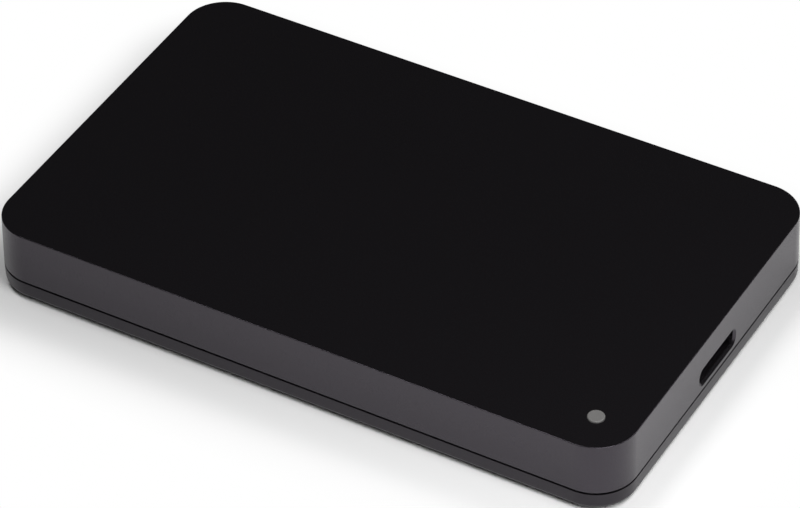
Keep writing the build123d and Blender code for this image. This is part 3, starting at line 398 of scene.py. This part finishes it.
def lid_post():
    """A post that comes down on the board and takes the floor's pin."""
    post = rod("lid_post", POST_RADIUS, (0, 0), board_high.z, CEILING + FIT)
    pick("FACE", level(board_high.z))
    bpy.ops.mesh.inset(thickness=POST_RADIUS - PIN_RADIUS - FIT)
    push(z=PIN_HEIGHT + FIT)
    object_mode()
    return post


def floor_post():
    """A post that carries the board, with a pin through it."""
    post = rod("floor_post", POST_RADIUS, (0, 0), FLOOR - FLOOR_WALL / 2, board_low.z)
    pick("FACE", level(board_low.z))
    bpy.ops.mesh.inset(thickness=POST_RADIUS - PIN_RADIUS)
    push(z=board_high.z - board_low.z + PIN_HEIGHT)
    bpy.ops.mesh.region_to_loop()
    round_edges(SOFT_EDGE, 2)
    object_mode()
    return post


def lamp_collar():
    """The ring under the lid that holds the lamp's flange."""
    collar = rod("collar", FLANGE_RADIUS + FIT + COLLAR_WALL, LAMP, CEILING - COLLAR_HEIGHT, CEILING + FIT)
    pick("FACE", level(CEILING - COLLAR_HEIGHT))
    bpy.ops.mesh.inset(thickness=COLLAR_WALL)
    push(z=COLLAR_HEIGHT + FIT / 2)
    object_mode()
    return collar


# Shells


def port_cutter():
    """Round-cornered block through the wall, with a bevel where it meets the outside."""
    face = lid_high.x - (PORT_Z - LID_RIM) * math.tan(DRAFT)
    high, wide = PORT_HEIGHT + 2 * PORT_LEAD, PORT_WIDTH + 2 * PORT_LEAD
    cutter = rounded_plate("port_cutter", high, wide, PORT_CORNER + PORT_LEAD, 0)
    push(z=WALL)
    pick("FACE", level(0))
    bpy.ops.mesh.inset(thickness=PORT_LEAD)
    move(z=-PORT_LEAD)
    push(z=-2 * WALL)
    outward()
    object_mode()
    cutter.data.transform(Matrix.Rotation(math.pi / 2, 4, "Y"))
    cutter.data.transform(Matrix.Translation((face, 0, PORT_Z)))
    return cutter


def hole(radius, place, low, high):
    """Round cutter for an upright hole."""
    cutter = rod("hole", radius, place, low, high)
    object_mode()
    return cutter


def lip_notch():
    """Room in the lip for the port's opening."""
    sill = PORT_Z - PORT_HEIGHT / 2 - FIT
    ends = (INNER_END - FIT, LENGTH / 2)
    notch = block("notch", ends, (-LIP_NOTCH / 2, LIP_NOTCH / 2), (sill, LIP_TOP + FIT))
    object_mode()
    return notch


def foot_places():
    """Where the four feet sit."""
    x = feet_high.x - FOOT_RADIUS
    y = feet_high.y - FOOT_RADIUS
    return [(x, y), (x, -y), (-x, y), (-x, -y)]


def lid_shell():
    """Upper shell: drafted walls, a crisp top edge, a stepped rim, inner features, port and lamp hole."""
    height = lid_high.z - LID_RIM
    lid = rounded_plate("lid_shell", LENGTH, WIDTH, CORNER, LID_RIM)
    push(z=height)
    stretch(*drawn_in(height), centre=(0, 0, lid_high.z))
    bpy.ops.mesh.region_to_loop()
    round_edges(LID_EDGE, 4)
    outward()
    pick("FACE", level(LID_RIM))
    bpy.ops.mesh.region_to_loop()
    round_edges(RIM_EDGE, 2)
    pick("FACE", level(LID_RIM))
    bpy.ops.mesh.inset(thickness=WALL - LIP_THICKNESS - FIT - RIM_EDGE)
    push(z=LIP_HEIGHT + FIT)
    bpy.ops.mesh.inset(thickness=LIP_THICKNESS + FIT)
    push(z=CEILING - LIP_TOP - FIT)
    grow(lid, copies(snap_ledge(), to_hooks()))
    grow(lid, copies(lid_rib(), to_ribs()))
    grow(lid, copies(lid_post(), to_posts()))
    grow(lid, lamp_collar())
    cut(lid, port_cutter())
    cut(lid, hole(LAMP_RADIUS + LAMP_GAP, LAMP, CEILING - WALL, lid_high.z + WALL))
    smooth(lid)
    return lid


def floor_shell():
    """Lower shell: drafted the other way, a round bottom edge, the lip inside the lid, hooks and posts."""
    height = FLOOR_RIM - floor_low.z
    shell = rounded_plate("floor_shell", LENGTH, WIDTH, CORNER, FLOOR_RIM)
    push(z=-height)
    stretch(*drawn_in(height), centre=(0, 0, floor_low.z))
    bpy.ops.mesh.region_to_loop()
    round_edges(FLOOR_EDGE, 8)
    outward()
    pick("FACE", level(FLOOR_RIM))
    bpy.ops.mesh.region_to_loop()
    round_edges(RIM_EDGE, 2)
    pick("FACE", level(FLOOR_RIM))
    bpy.ops.mesh.inset(thickness=WALL - LIP_THICKNESS - RIM_EDGE)
    push(z=LIP_TOP - FLOOR_RIM)
    bpy.ops.mesh.inset(thickness=LIP_THICKNESS)
    push(z=FLOOR - LIP_TOP)
    cut(shell, lip_notch())
    grow(shell, copies(snap_hook(), to_hooks()))
    grow(shell, copies(floor_post(), to_posts()))
    for place in foot_places():
        cut(shell, hole(FOOT_RADIUS + FIT, place, 0, floor_low.z + FOOT_RECESS))
    smooth(shell)
    return shell


# Lamp, feet and flexible cable


def lamp_guide():
    """Milky cap with a soft edge, the flange under the lid and the stem down to the board."""
    guide = rod("lamp_guide", LAMP_RADIUS, LAMP, CEILING, guide_high.z)
    pick("EDGE", level(guide_high.z))
    round_edges(LAMP_EDGE, 6)
    pick("FACE", level(CEILING))
    centre = (*LAMP, 0)
    push()
    stretch(FLANGE_RADIUS / LAMP_RADIUS, FLANGE_RADIUS / LAMP_RADIUS, centre=centre)
    push(z=-GUIDE_FLANGE)
    push()
    stretch(STEM_RADIUS / FLANGE_RADIUS, STEM_RADIUS / FLANGE_RADIUS, centre=centre)
    push(z=guide_low.z - CEILING + GUIDE_FLANGE)
    outward()
    smooth(guide)
    return guide


def rubber_feet():
    """Four thick discs with a soft lower edge and a shallow dish, modelled once."""
    foot = rod("feet", FOOT_RADIUS, (0, 0), 0, feet_high.z)
    pick("EDGE", level(0))
    round_edges(FOOT_EDGE, 4)
    pick("FACE", level(0))
    bpy.ops.mesh.inset(thickness=FOOT_RIM)
    push(z=FOOT_DISH)
    stretch(DISH_TAPER, DISH_TAPER)
    outward()
    smooth(foot)
    return copies(foot, [Matrix.Translation((*place, 0)) for place in foot_places()])


def flex_ribbon():
    """Thin film standing on edge, swept in an arc from the bracket to the head arm."""
    chord = FLEX_BRACKET_END - FLEX_ARM_END
    across = Vector((chord.y, -chord.x, 0)).normalized()
    radius = (chord.length_squared / 4 + FLEX_SAG**2) / (2 * FLEX_SAG)
    centre = (FLEX_BRACKET_END + FLEX_ARM_END) / 2 + across * (FLEX_SAG - radius)
    start = FLEX_BRACKET_END - centre
    object_mode()
    bpy.ops.mesh.primitive_plane_add(
        size=1,
        location=(FLEX_BRACKET_END.x, FLEX_BRACKET_END.y, (flex_low.z + flex_high.z) / 2),
        rotation=(math.pi / 2, 0, math.atan2(start.y, start.x)),
    )
    ribbon = bpy.context.object
    ribbon.name = "flex_ribbon"
    ribbon.scale = (FLEX_THICKNESS, flex_high.z - flex_low.z, 1)
    bpy.ops.object.transform_apply(location=True, rotation=True, scale=True)
    edit(ribbon)
    bpy.ops.mesh.select_all(action="SELECT")
    turn = 2 * math.asin(chord.length / 2 / radius)
    bpy.ops.mesh.spin(steps=FLEX_STEPS, angle=turn, center=centre, axis=(0, 0, 1))
    bpy.ops.mesh.select_all(action="SELECT")
    bpy.ops.mesh.remove_doubles(threshold=SAME_PLACE)
    outward()
    smooth(ribbon)
    return ribbon


# Patterns shared by the finishes


def new_group(name, inputs):
    """An empty pattern with number inputs, and a height and a tone to put out."""
    group = bpy.data.node_groups.new(name, "ShaderNodeTree")
    for title, value in inputs.items():
        socket = group.interface.new_socket(name=title, in_out="INPUT", socket_type="NodeSocketFloat")
        socket.default_value = value
    for title in ("Height", "Tone"):
        group.interface.new_socket(name=title, in_out="OUTPUT", socket_type="NodeSocketFloat")
    given = group.nodes.new("NodeGroupInput")
    made = group.nodes.new("NodeGroupOutput")
    place = group.nodes.new("ShaderNodeTexCoord")
    return group, given, made, place.outputs["Object"]


def noise(group, place, scale, detail):
    """Noise at a place, its scale a number or a group input."""
    texture = group.nodes.new("ShaderNodeTexNoise")
    texture.inputs["Detail"].default_value = detail
    group.links.new(place, texture.inputs["Vector"])
    if isinstance(scale, float):
        texture.inputs["Scale"].default_value = scale
    else:
        group.links.new(scale, texture.inputs["Scale"])
    return texture.outputs["Fac"]


def waves(group, place, scale, kind, direction):
    """Even lines or rings at a place."""
    texture = group.nodes.new("ShaderNodeTexWave")
    texture.wave_type = kind
    if kind == "RINGS":
        texture.rings_direction = direction
    else:
        texture.bands_direction = direction
    group.links.new(place, texture.inputs["Vector"])
    group.links.new(scale, texture.inputs["Scale"])
    return texture.outputs["Fac"]


def centred(group, place, given):
    """Places measured from an upright axis that the group is given."""
    axis = group.nodes.new("ShaderNodeCombineXYZ")
    group.links.new(given.outputs["Centre X"], axis.inputs["X"])
    group.links.new(given.outputs["Centre Y"], axis.inputs["Y"])
    away = group.nodes.new("ShaderNodeVectorMath")
    away.operation = "SUBTRACT"
    group.links.new(place, away.inputs[0])
    group.links.new(axis.outputs["Vector"], away.inputs[1])
    return away.outputs["Vector"]


def grain_group():
    """Fine moulded or cast grain, with a slow tone that drifts over the surface."""
    group, given, made, place = new_group("fine_grain", {"Scale": 6000.0, "Drift": 60.0})
    group.links.new(noise(group, place, given.outputs["Scale"], detail=2.0), made.inputs["Height"])
    group.links.new(noise(group, place, given.outputs["Drift"], detail=3.0), made.inputs["Tone"])
    return group


def turned_group():
    """Tool marks or turns of wire in rings round an upright axis."""
    inputs = {"Scale": 3000.0, "Centre X": 0.0, "Centre Y": 0.0}
    group, given, made, place = new_group("turned_rings", inputs)
    place = centred(group, place, given)
    group.links.new(waves(group, place, given.outputs["Scale"], "RINGS", "Z"), made.inputs["Height"])
    group.links.new(noise(group, place, scale=350.0, detail=4.0), made.inputs["Tone"])
    return group


def brushed_group():
    """Straight fine streaks along the length, as on rolled sheet."""
    group, given, made, place = new_group("rolled_streaks", {"Scale": 9000.0, "Along": 0.03})
    squeeze = group.nodes.new("ShaderNodeCombineXYZ")
    squeeze.inputs["Y"].default_value = 1.0
    squeeze.inputs["Z"].default_value = 1.0
    group.links.new(given.outputs["Along"], squeeze.inputs["X"])
    drawn = group.nodes.new("ShaderNodeVectorMath")
    drawn.operation = "MULTIPLY"
    group.links.new(place, drawn.inputs[0])
    group.links.new(squeeze.outputs["Vector"], drawn.inputs[1])
    streaks = noise(group, drawn.outputs["Vector"], given.outputs["Scale"], detail=2.0)
    group.links.new(streaks, made.inputs["Height"])
    group.links.new(noise(group, place, scale=150.0, detail=3.0), made.inputs["Tone"])
    return group


def woven_group():
    """Threads that cross, for glass cloth under a board's lacquer and for filter cloth."""
    group, given, made, place = new_group("crossed_threads", {"Scale": 900.0, "Drift": 250.0})
    along = waves(group, place, given.outputs["Scale"], "BANDS", "X")
    over = waves(group, place, given.outputs["Scale"], "BANDS", "Y")
    cross = group.nodes.new("ShaderNodeMath")
    cross.operation = "MULTIPLY"
    group.links.new(along, cross.inputs[0])
    group.links.new(over, cross.inputs[1])
    group.links.new(cross.outputs["Value"], made.inputs["Height"])
    group.links.new(noise(group, place, given.outputs["Drift"], detail=4.0), made.inputs["Tone"])
    return group


def track_group():
    """Lines at even heights: copper tracks in a film on edge, or stacked sheets."""
    group, given, made, place = new_group("stacked_lines", {"Scale": 700.0})
    lines = waves(group, place, given.outputs["Scale"], "BANDS", "Z")
    group.links.new(lines, made.inputs["Height"])
    group.links.new(lines, made.inputs["Tone"])
    return group


FINE_GRAIN = grain_group()
TURNED_RINGS = turned_group()
ROLLED_STREAKS = brushed_group()
CROSSED_THREADS = woven_group()
STACKED_LINES = track_group()


# Finishes

slot_of = {item["node"]: item["material_slot"] for item in frame["record"]["subparts"]}
colour_of = {item["slot"]: item["base_color"] for item in frame["record"]["materials"]}


def finish(name, colour, roughness, pattern, values, metallic=0.0, shade=0.1, spread=0.05, depth=0.004):
    """A finish from one pattern.

    The pattern's tone shades the colour. Its height sets the gloss, and the bump to a depth in mm.
    """
    material = bpy.data.materials.new(name)
    material.use_nodes = True
    nodes, links = material.node_tree.nodes, material.node_tree.links
    shader = nodes["Principled BSDF"]
    shader.inputs["Metallic"].default_value = metallic
    surface = nodes.new("ShaderNodeGroup")
    surface.node_tree = pattern
    for title, value in values.items():
        surface.inputs[title].default_value = value
    tint = nodes.new("ShaderNodeMix")
    tint.data_type = "RGBA"
    tint.inputs["A"].default_value = (*[c * (1 - shade) for c in colour], 1)
    tint.inputs["B"].default_value = (*[min(1.0, c * (1 + shade)) for c in colour], 1)
    links.new(surface.outputs["Tone"], tint.inputs["Factor"])
    links.new(tint.outputs["Result"], shader.inputs["Base Color"])
    gloss = nodes.new("ShaderNodeMapRange")
    gloss.inputs["To Min"].default_value = max(0.0, roughness - spread)
    gloss.inputs["To Max"].default_value = min(1.0, roughness + spread)
    links.new(surface.outputs["Height"], gloss.inputs["Value"])
    links.new(gloss.outputs["Result"], shader.inputs["Roughness"])
    bump = nodes.new("ShaderNodeBump")
    bump.inputs["Distance"].default_value = depth * MM
    links.new(surface.outputs["Height"], bump.inputs["Height"])
    links.new(bump.outputs["Normal"], shader.inputs["Normal"])
    return material


def case_plastic(name, roughness, gloss):
    """Satin black moulding with a fine spark-eroded grain."""
    grain = {"Scale": 9000.0, "Drift": 25.0}
    material = finish(name, (0.0024, 0.0022, 0.0025), roughness, FINE_GRAIN, grain, depth=0.0005)
    shader = material.node_tree.nodes["Principled BSDF"]
    shader.inputs["Specular IOR Level"].default_value = gloss
    shader.inputs["Specular Tint"].default_value = (0.95, 0.85, 1.0, 1)
    return material


def lamp_plastic():
    """Milky grey plastic with a soft sheen."""
    grain = {"Scale": 3000.0, "Drift": 900.0}
    return finish("lamp_plastic", (0.15, 0.147, 0.145), 0.4, FINE_GRAIN, grain, depth=0.002)


def foot_rubber():
    """Matt black rubber."""
    grain = {"Scale": 5000.0, "Drift": 400.0}
    return finish("foot_rubber", (0.012, 0.012, 0.012), 0.7, FINE_GRAIN, grain, depth=0.006)


# Roughness of the finishes inside, by the way each is made
MOULDED = {
    "buffer_rubber": 0.75,
    "seal_rubber": 0.8,
    "port_insulator": 0.45,
    "connector_plastic": 0.5,
    "chip_plastic": 0.55,
    "arm_plastic": 0.5,
    "ramp_plastic": 0.4,
    "lamp_chip": 0.35,
    "ferrite": 0.6,
    "chip_ceramic": 0.5,
    "resistor_ceramic": 0.45,
    "slider_ceramic": 0.3,
}
ROLLED = {
    "port_steel": 0.3,
    "crystal_can": 0.25,
    "cover_steel": 0.32,
    "screw_steel": 0.35,
    "spring_steel": 0.25,
    "contact_gold": 0.22,
    "plated_magnet": 0.16,
    "yoke_steel": 0.2,
}
TURNED = {
    "turned_steel": 0.22,
    "machined_aluminium": 0.28,
    "platter_mirror": 0.04,
    "copper_wire": 0.35,
}

# Turned pieces: how fine their rings are, and which were turned about the head pivot
RING_SCALE = {
    "turned_steel": 5000.0,
    "machined_aluminium": 3500.0,
    "platter_mirror": 9000.0,
    "copper_wire": 2600.0,
}
PIVOTED = ("arm_block", "pivot_sleeve", "pivot_shaft", "pivot_bearings")


def axis_of(node):
    """The upright axis that a turned piece was made on: the head pivot, or its own middle."""
    if node in PIVOTED:
        pivot = next(joint for joint in frame["joints"] if joint["name"] == "head_swing")
        return pivot["pos_m"][:2]
    low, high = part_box(node)
    return (low.x + high.x) / 2, (low.y + high.y) / 2


def inside_finish(node):
    """The finish of a solid that is carried over, from how its material is made."""
    slot = slot_of[node]
    colour = colour_of[slot]
    name = f"{node}_{slot}"
    if slot in MOULDED:
        grain = {"Scale": 5000.0, "Drift": 300.0}
        return finish(name, colour, MOULDED[slot], FINE_GRAIN, grain, spread=0.08, depth=0.004)
    if slot in ROLLED:
        streaks = {"Scale": 8000.0, "Along": 0.03}
        marks = {"metallic": 1.0, "shade": 0.06, "spread": 0.08, "depth": 0.0015}
        return finish(name, colour, ROLLED[slot], ROLLED_STREAKS, streaks, **marks)
    if slot in TURNED:
        x, y = axis_of(node)
        rings = {"Scale": RING_SCALE[slot], "Centre X": x, "Centre Y": y}
        marks = {"metallic": 1.0, "shade": 0.05, "spread": 0.03}
        deep = 0.03 if slot == "copper_wire" else 0.0004
        return finish(name, colour, TURNED[slot], TURNED_RINGS, rings, depth=deep, **marks)
    if slot == "board":
        cloth = {"Scale": 700.0, "Drift": 220.0}
        return finish(name, colour, 0.3, CROSSED_THREADS, cloth, shade=0.25, spread=0.06, depth=0.004)
    if slot == "filter_cloth":
        cloth = {"Scale": 1600.0, "Drift": 500.0}
        return finish(name, colour, 0.9, CROSSED_THREADS, cloth, shade=0.12, spread=0.05, depth=0.08)
    if slot == "stator_steel":
        marks = {"metallic": 1.0, "shade": 0.2, "spread": 0.1, "depth": 0.02}
        return finish(name, colour, 0.45, STACKED_LINES, {"Scale": 900.0}, **marks)
    grain = {"Scale": 2200.0, "Drift": 120.0}
    marks = {"metallic": 1.0, "shade": 0.15, "spread": 0.1, "depth": 0.012}
    return finish(name, colour, 0.45, FINE_GRAIN, grain, **marks)


def film_finish():
    """Amber film with copper tracks along it."""
    colour = colour_of["flex_film"]
    marks = {"shade": 0.35, "spread": 0.1, "depth": 0.01}
    return finish("flex_film", colour, 0.3, STACKED_LINES, {"Scale": 620.0}, **marks)


def dress_inside(replaced):
    """Gives every solid that still shows its finish."""
    for node, solid in frame["nodes"].items():
        if node in replaced:
            continue
        material = inside_finish(node)
        for place in solid.material_slots:
            place.material = material


def break_edges(node, width):
    """Softens the folded or moulded edges of a solid that is carried over."""
    solid = frame["nodes"][node]
    weld = solid.modifiers.new("weld", "WELD")
    weld.merge_threshold = SAME_PLACE
    bevel = solid.modifiers.new("broken_edges", "BEVEL")
    bevel.width = width
    bevel.segments = 2
    bevel.limit_method = "ANGLE"
    bevel.angle_limit = math.radians(40)


# Studio


def reckon(tree, operation, first, second):
    """One step of arithmetic on two values of a material."""
    node = tree.nodes.new("ShaderNodeMath")
    node.operation = operation
    tree.links.new(first, node.inputs[0])
    tree.links.new(second, node.inputs[1])
    return node.outputs["Value"]


def distance_from_core(tree):
    """How far a place on the floor lies outside the plan drawn in by its corner radius."""
    place = tree.nodes.new("ShaderNodeTexCoord").outputs["Object"]
    core = (LENGTH / 2 - CORNER, WIDTH / 2 - CORNER, 0)
    for operation, value in (("ABSOLUTE", (0, 0, 0)), ("SUBTRACT", core), ("MAXIMUM", (0, 0, 0))):
        beyond = tree.nodes.new("ShaderNodeVectorMath")
        beyond.operation = operation
        beyond.inputs[1].default_value = value
        tree.links.new(place, beyond.inputs[0])
        place = beyond.outputs["Vector"]
    away = tree.nodes.new("ShaderNodeVectorMath")
    away.operation = "LENGTH"
    tree.links.new(place, away.inputs[0])
    return away.outputs["Value"]


def fade(tree, distance, band):
    """Rises smoothly from 0 to 1 over a band round the object."""
    node = tree.nodes.new("ShaderNodeMapRange")
    node.interpolation_type = "SMOOTHSTEP"
    node.inputs["From Min"].default_value = CORNER + band[0]
    node.inputs["From Max"].default_value = CORNER + band[1]
    tree.links.new(distance, node.inputs["Value"])
    return node.outputs["Result"]


def stage_white():
    """White that keeps the shadow near the object and is plain white far away, also where it is mirrored."""
    material = bpy.data.materials.new("studio_floor")
    material.use_nodes = True
    tree = material.node_tree
    shader = tree.nodes["Principled BSDF"]
    shader.inputs["Base Color"].default_value = (STAGE_WHITE, STAGE_WHITE, STAGE_WHITE, 1)
    shader.inputs["Roughness"].default_value = 1.0
    shader.inputs["Specular IOR Level"].default_value = 0.0
    distance = distance_from_core(tree)
    path = tree.nodes.new("ShaderNodeLightPath").outputs
    seen = reckon(tree, "MULTIPLY", path["Is Camera Ray"], fade(tree, distance, SEEN_BAND))
    bounced = reckon(tree, "MAXIMUM", path["Is Glossy Ray"], path["Is Transmission Ray"])
    mirrored = reckon(tree, "MULTIPLY", bounced, fade(tree, distance, MIRRORED_BAND))
    glow = tree.nodes.new("ShaderNodeEmission")
    glow.inputs["Strength"].default_value = 1.0
    mix = tree.nodes.new("ShaderNodeMixShader")
    tree.links.new(reckon(tree, "ADD", seen, mirrored), mix.inputs["Fac"])
    tree.links.new(shader.outputs["BSDF"], mix.inputs[1])
    tree.links.new(glow.outputs["Emission"], mix.inputs[2])
    tree.links.new(mix.outputs["Shader"], tree.nodes["Material Output"].inputs["Surface"])
    return material


def studio_floor():
    """A wide round floor with a low raised rim."""
    object_mode()
    bpy.ops.mesh.primitive_circle_add(
        vertices=STAGE_STEPS, radius=STAGE_RADIUS, fill_type="NGON", location=(0, 0, 0)
    )
    floor = bpy.context.object
    floor.name = "studio_floor"
    edit(floor)
    for rise, spread in STAGE_RIM:
        pick("EDGE", lambda item: item.is_boundary)
        push(z=rise)
        stretch(spread, spread)
    object_mode()
    floor.data.materials.append(stage_white())


def softbox(name, place, aim, size, power):
    """A square soft light at a place, facing a point, in metres and watts."""
    lamp = bpy.data.lights.new(name, "AREA")
    lamp.shape = "SQUARE"
    lamp.size = size
    lamp.energy = power
    holder = bpy.data.objects.new(name, lamp)
    bpy.context.scene.collection.objects.link(holder)
    holder.location = place
    holder.rotation_mode = "QUATERNION"
    holder.rotation_quaternion = (Vector(aim) - Vector(place)).to_track_quat("-Z", "Y")


def studio_lights():
    """A soft light behind on the right, one overhead, a small one by the port's corner and a dim room."""
    softbox("back_right", (0.34, 0.46, 0.75), (0, 0, 0), size=0.30, power=2.2)
    softbox("front_right", (0.15, -0.10, 0.19), (0.05, -0.03, 0), size=0.14, power=0.4)
    softbox("overhead", (-0.28, -0.08, 0.94), (0, 0, 0), size=0.30, power=2.6)
    world = bpy.data.worlds.new("studio")
    bpy.context.scene.world = world
    world.use_nodes = True
    background = world.node_tree.nodes["Background"]
    background.inputs["Color"].default_value = (1, 1, 1, 1)
    background.inputs["Strength"].default_value = ROOM_LIGHT


def camera():
    """The photograph's view: a long lens from the front right, a little rolled."""
    a, e = CAMERA_AZIMUTH, CAMERA_ELEVATION
    back = Vector((math.sin(a) * math.cos(e), -math.cos(a) * math.cos(e), math.sin(e)))
    level_right = Vector((math.cos(a), math.sin(a), 0))
    level_up = back.cross(level_right)
    c, s = math.cos(CAMERA_ROLL), math.sin(CAMERA_ROLL)
    right = c * level_right + s * level_up
    up = c * level_up - s * level_right
    data = bpy.data.cameras.new("camera")
    data.sensor_width = SENSOR
    data.lens = FOCAL_PIXELS * SENSOR / PHOTO_WIDTH
    holder = bpy.data.objects.new("camera", data)
    bpy.context.scene.collection.objects.link(holder)
    aim = Vector((0, 0, floor_low.z))
    holder.location = aim + back * CAMERA_DISTANCE + up * CAMERA_RISE + right * CAMERA_SIDE
    holder.rotation_mode = "QUATERNION"
    holder.rotation_quaternion = Matrix((right, up, back)).transposed().to_quaternion()
    data.clip_start = 0.01
    data.clip_end = 50
    bpy.context.scene.camera = holder


def dress(piece, material, node):
    """Gives a modelled piece its finish and hides the solid that it stands for."""
    piece.data.materials.clear()
    piece.data.materials.append(material)
    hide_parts(node)
    return piece


lid_finish = case_plastic("lid_plastic", roughness=0.27, gloss=0.7)
floor_finish = case_plastic("floor_plastic", roughness=0.33, gloss=0.47)
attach(dress(lid_shell(), lid_finish, "top_cover"), "case")
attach(dress(floor_shell(), floor_finish, "bottom_cover"), "case")
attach(dress(lamp_guide(), lamp_plastic(), "light_guide"), "case")
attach(dress(rubber_feet(), foot_rubber(), "rubber_feet"), "case")
ribbon = dress(flex_ribbon(), film_finish(), "flex_cable")
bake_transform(ribbon)
dress_inside(("top_cover", "bottom_cover", "light_guide", "rubber_feet", "flex_cable"))
break_edges("port_shell", SOCKET_FOLD)
break_edges("port_tongue", TONGUE_EDGE)

studio_floor()
studio_lights()
camera()
bpy.context.scene.view_settings.view_transform = "Standard"
